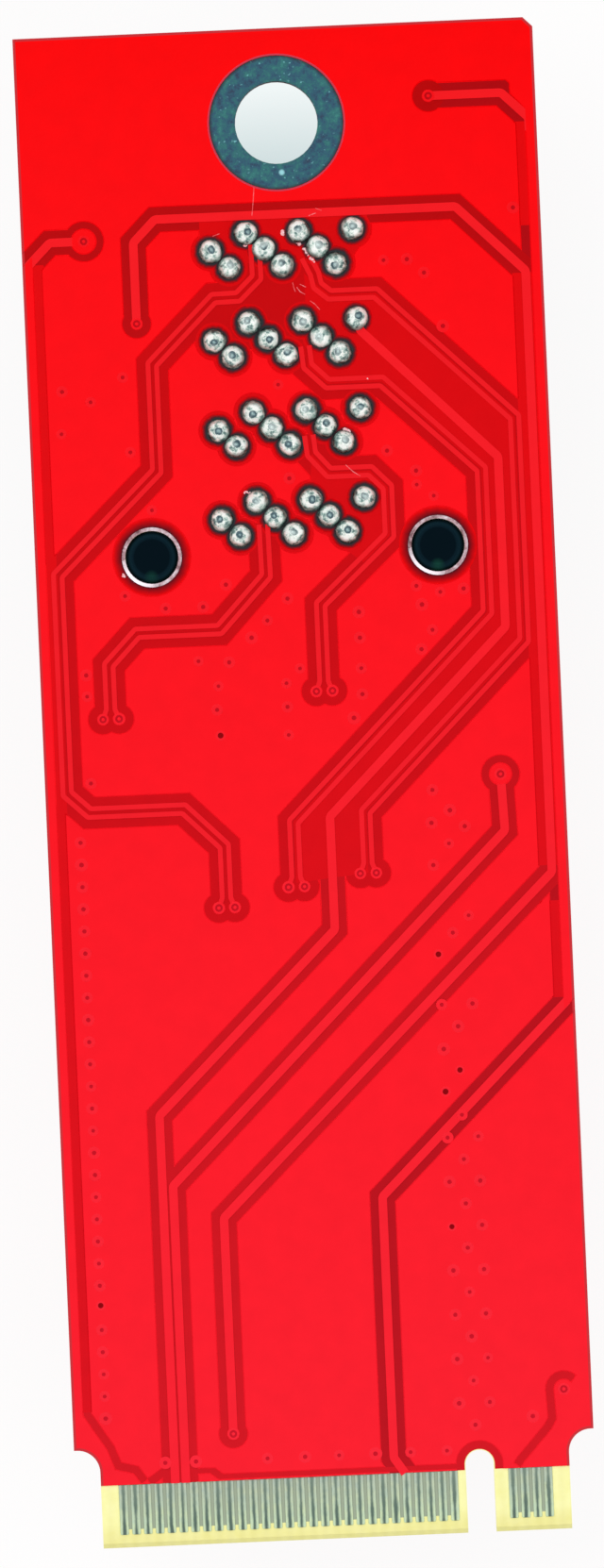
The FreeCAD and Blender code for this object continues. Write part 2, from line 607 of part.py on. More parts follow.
def make_housing():
    body = add_body("socket_housing")
    half_housing = "(Sizes.housing_width / 2)"
    outline = add_sketch(body, "housing_outline", "XY_Plane")
    draw_box(outline, "-" + half_housing, half_housing, HOUSING_FRONT_Y, HOUSING_BACK_Y)
    add_pad(body, "housing_block", outline, "Sizes.housing_height")

    half_cavity = "(Sizes.housing_width / 2 - Sizes.shroud_wall)"
    cavity_front = "(%s + Sizes.shroud_wall)" % HOUSING_FRONT_Y
    cavity_back = "(%s - Sizes.shroud_wall)" % HOUSING_BACK_Y
    mouth = add_sketch(body, "mouth_outline", "XY_Plane")
    draw_box(mouth, "-" + half_cavity, half_cavity, cavity_front, cavity_back)
    mouth_pocket = add_pocket(body, "mouth", mouth, "Sizes.mouth_recess", True)
    rim = edge_names(mouth_pocket.Shape, lambda p: near(p.z, 0)
                     and near(abs(p.x), value(half_cavity)))
    add_edge_feature(body, "Chamfer", "mouth_lead_in", mouth_pocket, rim, "Size", "Sizes.mouth_bevel")

    around = add_sketch(body, "nose_surround", "XY_Plane", "Sizes.mouth_recess")
    draw_box(around, "-" + half_cavity, half_cavity, cavity_front, cavity_back)
    for slot in range(2):
        draw_box(around, "(-Sizes.nose_width / 2)", "(Sizes.nose_width / 2)",
                 slot_y(slot) + " - Sizes.nose_thickness / 2", slot_y(slot) + " + Sizes.nose_thickness / 2")
    add_pocket(body, "cavity", around, "%s - Sizes.mouth_recess" % CAVITY_DEPTH, True)

    slots = add_sketch(body, "card_slots_outline", "XY_Plane", "Sizes.mouth_recess")
    for slot in range(2):
        draw_box(slots, "(-Sizes.card_slot_length / 2)", "(Sizes.card_slot_length / 2)",
                 slot_y(slot) + " - Sizes.card_slot_width / 2", slot_y(slot) + " + Sizes.card_slot_width / 2")
    add_pocket(body, "card_slots", slots, "Sizes.card_slot_depth", True)

    trough_floor = "(Sizes.housing_height - Sizes.trough_depth)"
    slits_bottom = "(Sizes.mouth_recess + Sizes.blade_tip_gap / 2)"
    slits = add_sketch(body, "contact_slits_outline", "XY_Plane", slits_bottom)
    half_slit = "(Sizes.tail_width / 2 + Sizes.contact_clearance)"
    inner = "(Sizes.blade_gap / 2 - Sizes.contact_clearance)"
    outer = "(Sizes.card_slot_width / 2 + Sizes.contact_slit_depth)"
    first_column = column_x(0)
    for slot in range(2):
        for sign in "+-":
            draw_box(slits, "%s - %s" % (first_column, half_slit), "%s + %s" % (first_column, half_slit),
                     "%s %s %s" % (slot_y(slot), sign, inner), "%s %s %s" % (slot_y(slot), sign, outer))
    slit_pocket = add_pocket(body, "contact_slits", slits,
                             "%s - %s + 0.01" % (trough_floor, slits_bottom), True)
    add_pattern(body, "contact_slit_rows", slit_pocket, slits, [
        ("H_Axis", "%d * Sizes.contact_pitch" % (CONTACTS_IN_ROW - 1), CONTACTS_IN_ROW)])

    troughs = add_sketch(body, "troughs_outline", "XY_Plane", BOARD_BOTTOM)
    half_trough = "(%g * Sizes.contact_pitch + Sizes.tail_width / 2 + Sizes.trough_margin)" \
        % ((CONTACTS_IN_ROW - 1) / 2)
    near_side = "(Sizes.blade_gap / 2 - 2 * Sizes.contact_clearance)"
    far_side = "(Sizes.row_pitch / 2 + Sizes.zigzag_step + Sizes.tail_width / 2 + Sizes.trough_margin)"
    for slot in range(2):
        for sign in "+-":
            draw_box(troughs, "-" + half_trough, half_trough,
                     "%s %s %s" % (slot_y(slot), sign, near_side), "%s %s %s" % (slot_y(slot), sign, far_side))
    add_pocket(body, "troughs", troughs, "Sizes.trough_depth", False)

    windows = add_sketch(body, "latch_windows_outline", "XZ_Plane", "-" + HOUSING_FRONT_Y)
    for side in (-1, 1):
        middle = "(%d * Sizes.latch_window_offset)" % side
        draw_box(windows, middle + " - Sizes.latch_window_width / 2", middle + " + Sizes.latch_window_width / 2",
                 "Sizes.latch_window_inset", "Sizes.latch_window_inset + Sizes.latch_window_height")
    add_pocket(body, "latch_windows", windows, "Sizes.shroud_wall", False)

    pegs = add_sketch(body, "pegs_outline", "XY_Plane", BOARD_BOTTOM)
    for side in ("-", ""):
        draw_circle(pegs, side + "(Sizes.peg_spacing / 2)", PEG_Y, "Sizes.peg_diameter / 2")
    peg_pad = add_pad(body, "pegs", pegs, "%s - %s" % (BOARD_TOP, BOARD_BOTTOM))
    board_top = value(BOARD_TOP)
    peg_rims = ["Edge%d" % (i + 1) for i, edge in enumerate(peg_pad.Shape.Edges)
                if near(edge.BoundBox.ZMin, board_top) and near(edge.BoundBox.ZMax, board_top)]
    add_edge_feature(body, "Chamfer", "peg_bevels", peg_pad, peg_rims, "Size", "Sizes.peg_bevel")
    return body


# ---- contacts: a springy blade in the nose, a shoulder, and a tail through the card ----

def make_contact(row, column):
    body = add_body("contact_%s%d" % (ROW_NAMES[row], column + 1))
    side = 1 if row % 2 == 0 else -1
    profile = add_sketch(body, body.Label + "_profile", "YZ_Plane", "-Sizes.tail_width / 2")
    inner = "(%d * (Sizes.blade_gap / 2 - Sizes.row_pitch / 2) - %d * Sizes.zigzag_step)" \
        % (side, level(column))
    outer = "(%s + %d * Sizes.blade_thickness)" % (inner, side)
    tail_near, tail_far = ("(%d * Sizes.tail_width / 2)" % -side, "(%d * Sizes.tail_width / 2)" % side)
    blade_tip = "(Sizes.mouth_recess + Sizes.blade_tip_gap)"
    shoulder = "(Sizes.housing_height - Sizes.trough_depth + Sizes.contact_clearance)"
    shoulder_top = "(%s + Sizes.blade_thickness)" % shoulder
    tail_tip = "(%s + Sizes.tail_reach)" % LAMINATE_TOP
    draw_polygon(profile, [
        ("(%s + %d * Sizes.blade_lead_in)" % (inner, side), blade_tip), (outer, blade_tip),
        (outer, shoulder), (tail_far, shoulder), (tail_far, tail_tip), (tail_near, tail_tip),
        (tail_near, shoulder_top), (inner, shoulder_top),
        (inner, "(%s + 6 * Sizes.blade_lead_in)" % blade_tip)])
    blade = body.newObject("PartDesign::Pad", body.Label + "_blade")
    blade.Profile = profile
    blade.setExpression("Length", "Sizes.tail_width")
    body.setExpression("Placement.Base.x", column_x(column))
    body.setExpression("Placement.Base.y", tail_y(row, column))
    return body


def make_solder_joints(row):
    """Tapered mounds of solder round the tails of one row."""
    joints = []
    for column in range(CONTACTS_IN_ROW):
        name = "joint_%s%d" % (ROW_NAMES[row], column + 1)
        rings = []
        for end, diameter, height in (("foot", "Sizes.joint_diameter", LAMINATE_TOP),
                                      ("top", "Sizes.joint_top_diameter", JOINT_TOP)):
            ring = doc.addObject("Part::RegularPolygon", "%s_%s" % (name, end))
            ring.Polygon = JOINT_SIDES
            ring.setExpression("Circumradius", diameter + " / 2")
            ring.setExpression("Placement.Base.x", column_x(column))
            ring.setExpression("Placement.Base.y", tail_y(row, column))
            ring.setExpression("Placement.Base.z", height)
            rings.append(ring)
        mound = doc.addObject("Part::Loft", name + "_mound")
        mound.Sections = rings
        mound.Solid = True
        mound.Ruled = True
        mound.Linearize = True
        tail = doc.addObject("Part::Box", name + "_tail")
        tail.setExpression("Length", "Sizes.tail_width")
        tail.setExpression("Width", "Sizes.tail_width")
        tail.setExpression("Height", "Sizes.joint_height")
        tail.setExpression("Placement.Base.x", column_x(column) + " - Sizes.tail_width / 2")
        tail.setExpression("Placement.Base.y", tail_y(row, column) + " - Sizes.tail_width / 2")
        tail.setExpression("Placement.Base.z", LAMINATE_TOP)
        joint = doc.addObject("Part::Cut", name)
        joint.Base = mound
        joint.Tool = tail
        joints.append(joint)
    return add_group("solder_joints_row_%s" % ROW_NAMES[row], joints)


# ---- the whole card -------------------------------------------------------------------

laminate, laminate_blank = make_laminate()
sub_parts = [
    laminate,
    make_solder_side_lacquer(laminate_blank),
    make_component_side_lacquer(laminate_blank),
    make_screw_land("screw_land_solder_side", LAMINATE_TOP),
    make_screw_land("screw_land_component_side", LAMINATE_BOTTOM + " - Sizes.plating_thickness"),
    make_peg_ring("peg_ring_left", "-"),
    make_peg_ring("peg_ring_right", ""),
    make_fingers("fingers_solder_side", "-Sizes.finger_outer_offset", [(0, 29), (33, 4)], LAMINATE_TOP),
    make_fingers("fingers_component_side", "-Sizes.finger_outer_offset - Sizes.finger_pitch / 2",
                 [(0, 29), (33, 5)], LAMINATE_BOTTOM + " - Sizes.finger_thickness"),
    make_housing(),
]
for row_index in range(len(ROW_NAMES)):
    sub_parts.append(make_solder_joints(row_index))
    for column_index in range(CONTACTS_IN_ROW):
        sub_parts.append(make_contact(row_index, column_index))
doc.recompute()

for item in doc.Objects:
    if "Invalid" in item.State or "Error" in item.State:
        raise RuntimeError("%s did not compute: %s" % (item.Name, item.State))
for piece in sub_parts:
    if piece.Shape.isNull() or not piece.Shape.isValid() or not piece.Shape.Solids:
        raise RuntimeError("%s has no valid solid" % piece.Label)

os.makedirs("parts", exist_ok=True)
for piece in sub_parts:
    piece.Shape.exportStep("parts/%s.step" % piece.Label)
    print("%-24s %3d solid(s) %9.3f mm3" % (piece.Label, len(piece.Shape.Solids), piece.Shape.Volume))
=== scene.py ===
import bmesh
import bpy
import math
import random
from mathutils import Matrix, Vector
from mathutils.geometry import delaunay_2d_cdt


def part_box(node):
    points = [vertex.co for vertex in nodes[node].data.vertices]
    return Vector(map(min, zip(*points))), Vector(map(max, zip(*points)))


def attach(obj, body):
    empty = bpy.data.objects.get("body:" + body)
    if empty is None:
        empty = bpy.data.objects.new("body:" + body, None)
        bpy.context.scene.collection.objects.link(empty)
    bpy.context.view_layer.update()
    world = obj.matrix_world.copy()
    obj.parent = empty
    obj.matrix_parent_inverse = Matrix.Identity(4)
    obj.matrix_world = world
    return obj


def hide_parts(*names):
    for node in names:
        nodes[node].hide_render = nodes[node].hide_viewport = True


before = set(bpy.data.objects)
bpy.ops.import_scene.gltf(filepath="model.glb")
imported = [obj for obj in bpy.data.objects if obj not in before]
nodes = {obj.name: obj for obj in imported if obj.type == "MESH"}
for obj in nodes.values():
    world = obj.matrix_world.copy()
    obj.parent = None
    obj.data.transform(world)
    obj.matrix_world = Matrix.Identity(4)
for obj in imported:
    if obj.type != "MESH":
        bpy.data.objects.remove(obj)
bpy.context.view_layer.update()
mm = 0.001


# the corners of a node's box, in millimetres
def corners(nodeName):
    return [Vector(corner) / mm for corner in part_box(nodeName)]


# levels and edges of the card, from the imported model
glassLow, glassHigh = corners("laminate")
lacquerHigh, lacquerLow = corners("lacquer_solder_side")[1], corners("lacquer_component_side")[0]
glassTop, glassBottom = glassHigh.z, glassLow.z
halfWidth, farEdge, tip = glassHigh.x, glassHigh.y, glassLow.y
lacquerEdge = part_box("lacquer_solder_side")[0][1] / mm
fingerLow, fingerHigh = corners("fingers_solder_side")
print("frame loaded, card", round(2 * halfWidth, 2), "x", round(farEdge - tip, 2), "mm")


def place(x, y, z=0.0):
    return Vector((x, y, z)) * mm


def middle(nodeName):
    low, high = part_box(nodeName)
    return ((low[0] + high[0]) / 2 / mm, (low[1] + high[1]) / 2 / mm)


pegCentres = [middle("peg_ring_left"), middle("peg_ring_right")]
screwCentre = middle("screw_land_solder_side")


# one point on a circle for every angle
def circle(centre, radius, angles):
    return [(centre[0] + radius * math.cos(angle), centre[1] + radius * math.sin(angle)) for angle in angles]


def newObject(name, data, *materials):
    obj = bpy.data.objects.new(name, data)
    bpy.context.collection.objects.link(obj)
    for material in materials:
        data.materials.append(material)
    return obj


def meshFromBmesh(name, bm):
    mesh = bpy.data.meshes.new(name)
    bm.to_mesh(mesh)
    bm.free()
    return mesh


def smoothShade(mesh, angle):
    mesh.shade_smooth()
    mesh.set_sharp_from_angle(angle=math.radians(angle))


# profile holds (radius, height) from the outside in, with a 1 where the second finish starts
def revolve(profile, sides):
    bm = bmesh.new()
    rings = []
    for radius, height, *_ in profile:
        spots = circle((0, 0), radius, (2 * math.pi * k / sides for k in range(sides)))
        rings.append([bm.verts.new(place(x, y, height)) for x, y in (spots if radius > 1e-6 else [(0, 0)])])
    closing = [(rings[-1], rings[0], (0, 0))] if len(rings[-1]) > 1 else []
    for outer, inner, (_, _, *second) in [*zip(rings, rings[1:], profile[1:]), *closing]:
        for k in range(sides):
            j = (k + 1) % sides
            around = [outer[k], outer[j], *([inner[j], inner[k]] if len(inner) > 1 else inner)]
            bm.faces.new(around).material_index = len(second)
    if not closing:
        bm.faces.new(rings[0][::-1])
    bmesh.ops.recalc_face_normals(bm, faces=bm.faces)
    return meshFromBmesh("revolved", bm)


# sets a socket to a value, or links it to another node's socket
def feed(tree, socket, source):
    if isinstance(source, bpy.types.NodeSocket):
        tree.links.new(source, socket)
    else:
        socket.default_value = (*source, 1) if socket.type == "RGBA" else source


# inputs are fed by name or number; gives the new node's outputs
def addNode(tree, kind, inputs=(), **settings):
    node = tree.nodes.new(kind)
    for setting, value in settings.items():
        setattr(node, setting, value)
    for key, source in dict(inputs).items():
        feed(tree, node.inputs[key], source)
    return node.outputs


def addMath(tree, operation, *terms):
    return addNode(tree, "ShaderNodeMath", enumerate(terms), operation=operation)[0]


# 0 at the start, 1 at the end
def addRange(tree, value, start, end):
    inputs = {"Value": value, "From Min": start, "From Max": end}
    return addNode(tree, "ShaderNodeMapRange", inputs)["Result"]


def newMaterial(name, color, roughness, metallic=0.0, specular=0.5):
    material = bpy.data.materials.new(name)
    material.use_nodes = True
    tree = material.node_tree
    look = {"Base Color": color, "Roughness": roughness, "Metallic": metallic, "Specular IOR Level": specular}
    for label, value in look.items():
        feed(tree, tree.nodes["Principled BSDF"].inputs[label], value)
    return material, tree


def objectPlace(tree, scale=(1, 1, 1), shift=(0, 0, 0)):
    inputs = {"Vector": addNode(tree, "ShaderNodeTexCoord")["Object"], "Location": shift, "Scale": scale}
    return addNode(tree, "ShaderNodeMapping", inputs)["Vector"]


def placeAlong(tree, axis):
    return addNode(tree, "ShaderNodeSeparateXYZ", {"Vector": objectPlace(tree)})[axis]


# distance from a place on the card, in millimetres
def distanceFrom(tree, centre):
    offset = objectPlace(tree, (1 / mm, 1 / mm, 0), (-centre[0], -centre[1], 0))
    return addNode(tree, "ShaderNodeVectorMath", {0: offset}, operation="LENGTH")["Value"]


# 1 inside a box round a place, 0 outside
def insideBox(tree, centre, halfX, halfY):
    near = [addMath(tree, "COMPARE", placeAlong(tree, axis), centre[k] * mm, half * mm)
            for k, (axis, half) in enumerate((("X", halfX), ("Y", halfY)))]
    return addMath(tree, "MULTIPLY", *near)


# 0 at the tip, 1 at the far edge
def alongCard(tree):
    return addRange(tree, placeAlong(tree, "Y"), tip * mm, farEdge * mm)


# blobs about size millimetres wide
def addNoise(tree, size, detail=3.0, roughness=0.55, stretch=(1, 1, 1)):
    inputs = {"Scale": 1 / (size * mm), "Detail": detail, "Roughness": roughness,
              "Vector": objectPlace(tree, stretch)}
    return addNode(tree, "ShaderNodeTexNoise", inputs)["Fac"]


# stops are (position, color), where a plain number is a grey
def addRamp(tree, factor, *stops):
    outputs = addNode(tree, "ShaderNodeValToRGB", {"Fac": factor})
    elements = outputs[0].node.color_ramp.elements
    while len(elements) < len(stops):
        elements.new(0.5)
    for element, (position, color) in zip(elements, stops):
        element.position = position
        element.color = (*color, 1) if isinstance(color, tuple) else (color, color, color, 1)
    return outputs["Color"]


def mixColors(tree, factor, first, second, mode="MIX"):
    inputs = {0: factor, 6: first, 7: second}
    return addNode(tree, "ShaderNodeMix", inputs, data_type="RGBA", blend_type=mode)[2]


# gives a material its color, and a grain from a height or from settings of addNoise
def finished(material, color, grain=None, depth=0.02, strength=0.5):
    tree = material.node_tree
    sockets = tree.nodes["Principled BSDF"].inputs
    feed(tree, sockets["Base Color"], color)
    if grain:
        height = addNoise(tree, *grain) if isinstance(grain, tuple) else grain
        inputs = {"Strength": strength, "Distance": depth * mm, "Height": height}
        feed(tree, sockets["Normal"], addNode(tree, "ShaderNodeBump", inputs)["Normal"])
    return material


def attributeFactor(tree, name):
    return addNode(tree, "ShaderNodeAttribute", attribute_name=name)["Fac"]


# adds a share of noise to a factor
def roughen(tree, factor, noise, share):
    return addMath(tree, "ADD", factor, addMath(tree, "MULTIPLY_ADD", noise, share, -share / 2))


lacquerLook = {"roughness": 0.32, "specular": 0.02, "mottle": 0.35}
# each color at the tip and at the far edge
lacquerColors = {
    "lacquerOverCopper": ((1.0, 0.015, 0.031), (1.0, 0.0004, 0.0016)),
    "lacquerOverLine": ((0.98, 0.017, 0.034), (0.93, 0.009, 0.013)),
    "lacquerOverPair": ((0.95, 0.016, 0.032), (0.86, 0.008, 0.011)),
    "lacquerOverVia": ((0.99, 0.022, 0.042), (0.95, 0.004, 0.007)),
    "lacquerOverGlass": ((0.72, 0.006, 0.014), (0.72, 0.0002, 0.001)),
    "lacquerBesidePairs": ((0.66, 0.006, 0.014), (0.58, 0.0002, 0.0008)),
    "lacquerInChannel": ((0.68, 0.009, 0.018), (0.46, 0.0002, 0.0006)),
    "lacquerInOuterChannel": ((0.52, 0.007, 0.015), (0.42, 0.001, 0.003)),
    "lacquerInFaintChannel": ((0.71, 0.006, 0.014), (0.79, 0.0004, 0.0012)),
    "lacquerInVia": ((0.60, 0.008, 0.022), (0.50, 0.001, 0.004)),
    "openVia": ((0.26, 0.001, 0.004), (0.28, 0.001, 0.002)),
    # painted shade: a greyed, darker red along the card's outer edge and its walls
    "lacquerRimShade": ((0.62, 0.035, 0.045), (0.58, 0.030, 0.038)),
    "lacquerEdge": ((0.60, 0.06, 0.10), (0.58, 0.05, 0.09)),
}


def lacquer(name, colors):
    material, tree = newMaterial(name, colors[1], lacquerLook["roughness"], specular=lacquerLook["specular"])
    gradient = mixColors(tree, alongCard(tree), *colors)
    mottle = addRamp(tree, addNoise(tree, 0.9, 5), (0.3, 0.86), (0.7, 1.0))
    return finished(material, mixColors(tree, lacquerLook["mottle"], gradient, mottle, "MULTIPLY"), (0.16, 2), 0.006)


# stained copper round the screw hole: green and blue patches, pale specks, dark outer rim
def landMaterial(centre):
    material, tree = newMaterial("stainedLand", (0.01, 0.09, 0.11), 0.55, metallic=0.35)
    stains = addRamp(tree, addNoise(tree, 0.45, 8, 0.8), (0.36, (0.002, 0.018, 0.05)), (0.46, (0.003, 0.058, 0.105)),
                     (0.55, (0.005, 0.095, 0.105)), (0.68, (0.02, 0.17, 0.15)))
    specks = addRamp(tree, addNoise(tree, 0.17, 2, 0.5), (0.66, 0.0), (0.74, 0.85))
    speckled = mixColors(tree, specks, stains, (0.13, 0.38, 0.4))
    spot = addRamp(tree, distanceFrom(tree, (centre[0] + 0.14, centre[1] - 2.12)), (0.07, 1.0), (0.15, 0.0))
    speckled = mixColors(tree, spot, speckled, (0.24, 0.52, 0.56))
    outwards = roughen(tree, addRange(tree, distanceFrom(tree, centre), 1.7, 2.9), addNoise(tree, 0.3, 3), 0.1)
    rim = addRamp(tree, outwards, (0.06, (0.75, 0.95, 0.85)), (0.16, 1.0), (0.82, 1.0), (0.9, (0.3, 0.34, 0.38)),
                  (0.95, (0.08, 0.07, 0.09)))
    return finished(material, mixColors(tree, 1.0, speckled, rim, "MULTIPLY"), (0.2, 4, 0.6), 0.02, 0.4)


# gold gone grey-green, darker down the middle of each finger
def fingerMaterial():
    material, tree = newMaterial("stripedFinger", (0.4, 0.49, 0.43), 0.4, metallic=0.4)
    towardsTip = addRange(tree, placeAlong(tree, "Y"), lacquerEdge * mm, (lacquerEdge - 1.8) * mm)
    plating = addRamp(tree, addNoise(tree, 0.4, 5), (0.35, (0.84, 0.9, 0.96)), (0.65, (1.0, 1.0, 0.92)))
    tarnish = mixColors(tree, towardsTip, (0.36, 0.41, 0.33), (0.47, 0.57, 0.38))
    plating = mixColors(tree, 1.0, plating, tarnish, "MULTIPLY")
    track = roughen(tree, attributeFactor(tree, "across"), addNoise(tree, 0.35, 4, 0.6, (1, 0.35, 1)), 0.9)
    stripeMask = addRamp(tree, track, (0.15, 1.0), (0.6, 0.0))
    stripeMetal = mixColors(tree, towardsTip, (0.12, 0.17, 0.13), (0.05, 0.09, 0.07))
    return finished(material, mixColors(tree, stripeMask, plating, stripeMetal), (0.2, 3, 0.6, (1, 0.2, 1)), 0.01, 0.4)


def glassMaterial():
    material, tree = newMaterial("wovenGlassEpoxy", (0.86, 0.8, 0.42), 0.55)
    inputs = {"Scale": 1 / (1.6 * mm), "Distortion": 1.2, "Vector": objectPlace(tree)}
    weave = addNode(tree, "ShaderNodeTexWave", inputs)
    color = addRamp(tree, addNoise(tree, 0.5, 4), (0.3, (0.96, 0.93, 0.37)), (0.7, (1.0, 0.98, 0.46)))
    color = mixColors(tree, 0.04, color, weave["Color"], "MULTIPLY")
    # painted shade: the laminate darkens over its last millimetre at the tip, where the edge is bevelled
    tipBevelShade = addRamp(tree, alongCard(tree), (0.006, (0.91, 0.88, 0.76)), (0.016, 1.0))
    color = mixColors(tree, 1.0, color, tipBevelShade, "MULTIPLY")
    fingersMiddle = (fingerLow.y + fingerHigh.y) / 2 + 0.12
    # painted shade: the laminate between the fingers is darkened to a grey-green
    for x, half in ((-2.0, 7.17), (8.25, 0.92)):  # between the fingers
        color = mixColors(tree, insideBox(tree, (x, fingersMiddle), half, 0.95), color, (0.33, 0.39, 0.28))
    # painted shade: the laminate round the screw hole, the hole's wall included, is painted near black
    holeWallShade = addMath(tree, "LESS_THAN", distanceFrom(tree, screwCentre), 2.95)
    color = mixColors(tree, holeWallShade, color, (0.06, 0.05, 0.06))
    return finished(material, color, weave["Fac"], 0.01, 0.4)


# tinned and stained, with a painted highlight that is brightest towards the lower left
def ringMaterial(name, centre):
    material, tree = newMaterial(name, (0.3, 0.2, 0.22), 0.4, metallic=0.6)
    stains = addRamp(tree, addNoise(tree, 0.5, 5, 0.7), (0.36, (0.1, 0.045, 0.05)), (0.5, (0.3, 0.19, 0.21)),
                     (0.68, (0.52, 0.46, 0.5)))
    fromShine = distanceFrom(tree, (centre[0] - 0.72, centre[1] - 0.95))
    # painted highlight: a pale patch on the ring towards the lower left
    paintedHighlight = addRamp(tree, fromShine, (0.3, 0.75), (1.1, 0.25), (1.6, 0.0))
    return finished(material, mixColors(tree, paintedHighlight, stains, (0.8, 0.74, 0.8)), (0.3, 4, 0.6))


# bright on the crown, stained grey-green in patches, and darkened towards the foot with painted shade where the dome
# meets the board and its neighbours
def solderMaterial():
    material, tree = newMaterial("solder", (0.9, 0.92, 0.9), 0.34, metallic=0.12)
    patches = addRamp(tree, addNoise(tree, 0.3, 5, 0.66), (0.34, (0.05, 0.11, 0.11)), (0.41, (0.2, 0.32, 0.3)),
                      (0.47, (0.52, 0.66, 0.6)), (0.52, (0.88, 0.94, 0.88)), (0.6, (0.98, 1.0, 0.97)))
    # painted shade: the dome darkens towards its foot
    foot = addRamp(tree, roughen(tree, attributeFactor(tree, "reach"), addNoise(tree, 0.35, 3), 0.45), (0.7, 1.0),
                   (0.88, (0.4, 0.5, 0.48)), (1.0, (0.03, 0.05, 0.05)))
    return finished(material, mixColors(tree, 1.0, patches, foot, "MULTIPLY"), (0.22, 4, 0.6), 0.06)


# grey-green end of a pin inside a dark ring, which is painted shade in the dip round the pin's end
def tipMaterial():
    material, tree = newMaterial("pinTip", (0.05, 0.1, 0.12), 0.42, metallic=0.3)
    ring = roughen(tree, attributeFactor(tree, "reach"), addNoise(tree, 0.14, 4), 0.34)
    rings = addRamp(tree, ring, (0.06, (0.22, 0.33, 0.33)), (0.15, (0.08, 0.15, 0.17)), (0.22, (0.018, 0.045, 0.065)),
                    (0.3, (0.04, 0.09, 0.1)), (0.38, (0.6, 0.7, 0.66)))
    faint = addRamp(tree, addNoise(tree, 0.9, 2), (0.45, 0.0), (0.65, 0.6))
    return finished(material, mixColors(tree, faint, rings, (0.72, 0.82, 0.78)))


# the pegs' ends, with a painted blue reflection on their bevels and a painted teal glint below each
def pegMaterial():
    material, tree = newMaterial("pegPlastic", (0.001, 0.001, 0.002), 0.5, specular=0.0)
    shade = addRamp(tree, addNoise(tree, 0.8, 4), (0.3, (0.0002, 0.0002, 0.0006)), (0.7, (0.0008, 0.0006, 0.0018)))
    for centre in pegCentres:
        fromPeg = distanceFrom(tree, centre)
        # painted reflection: a blue ring over each peg's bevel
        bevel = addRamp(tree, fromPeg, (0.74, 0.0), (0.82, 0.5), (0.9, 1.0), (1.00, 0.8), (1.06, 0.3))
        shade = mixColors(tree, bevel, shade, (0.006, 0.022, 0.034))
        # painted highlight: a teal glint just below each peg
        glint = addRamp(tree, distanceFrom(tree, (centre[0] - 0.05, centre[1] - 0.86)), (0.08, 0.5), (0.34, 0.0))
        shade = mixColors(tree, glint, shade, (0.012, 0.085, 0.055))
    return finished(material, shade, (0.12, 2), 0.01, 0.6)


# dark at the inside, clearing to the lacquer's red outwards: burnt flux with painted shade round the joints, and
# painted shade alone round the pegs
def fluxAndShadeMaterial(name, unevenness, *stops):
    material, tree = newMaterial(name, (0.035, 0.003, 0.008), 0.35, specular=0.02)
    fade = roughen(tree, attributeFactor(tree, "reach"), addNoise(tree, 0.3, 2), unevenness)
    return finished(material, addRamp(tree, fade, *stops))


# colors over blobs of one size
def mottledMaterial(name, color, roughness, blobs, stops, grain=None, depth=0.02, strength=0.5, **look):
    material, tree = newMaterial(name, color, roughness, **look)
    return finished(material, addRamp(tree, addNoise(tree, *blobs), *stops), grain, depth, strength)


lacquers = {name: lacquer(name, colors) for name, colors in lacquerColors.items()}
glassEpoxy = glassMaterial()
leftRingMetal = ringMaterial("leftPegRing", pegCentres[0])
rightRingMetal = ringMaterial("rightPegRing", pegCentres[1])
landMetal = landMaterial(screwCentre)
fingerMetal = fingerMaterial()
contactMetal = mottledMaterial("contactMetal", (0.62, 0.5, 0.27), 0.34, (1.2, 6, 0.68), (
    (0.32, (0.42, 0.33, 0.16)), (0.52, (0.62, 0.5, 0.27)), (0.74, (0.78, 0.68, 0.42))), (0.6, 4, 0.6), metallic=0.85)
solderMetal = solderMaterial()
tipMetal = tipMaterial()
blackPlastic = mottledMaterial("mouldedBlackPlastic", (0.01, 0.01, 0.011), 0.42, (3.0, 4), (
    (0.3, (0.007, 0.007, 0.008)), (0.7, (0.013, 0.013, 0.014))), (0.12, 2), 0.01, 0.6, specular=0.35)
pegPlastic = pegMaterial()
# burnt flux with painted shade, hugging the foot of each joint
fluxAndShadeFilm = fluxAndShadeMaterial("burntFluxAndPaintedShade", 0.22, (0.68, (0.03, 0.04, 0.044)), (0.75, (0.04, 0.024, 0.03)),
                        (0.82, (0.13, 0.01, 0.016)), (0.9, (0.36, 0.004, 0.007)), (0.96, (0.6, 0.001, 0.003)),
                        (1.0, (0.71, 0.0006, 0.002)))
# painted shade: a dark halo round each peg ring that fades outwards
pegShadeFilm = fluxAndShadeMaterial("paintedShadeRoundPegs", 0.08, (0.76, (0.06, 0.004, 0.01)), (0.82, (0.22, 0.003, 0.007)),
                       (0.87, (0.36, 0.002, 0.005)), (0.92, (0.53, 0.001, 0.004)), (0.97, (0.72, 0.001, 0.003)),
                       (1.0, (0.85, 0.001, 0.003)))
residue = mottledMaterial("fluxCrumbs", (0.95, 0.62, 0.64), 0.5, (0.1, 3), (
    (0.35, (0.9, 0.22, 0.26)), (0.62, (0.95, 0.66, 0.68))))
scratchedLacquer = mottledMaterial("scratchedLacquer", (0.9, 0.2, 0.22), 0.5, (0.15, 3), (
    (0.4, (0.86, 0.03, 0.04)), (0.65, (0.88, 0.2, 0.23))))
print("materials made")


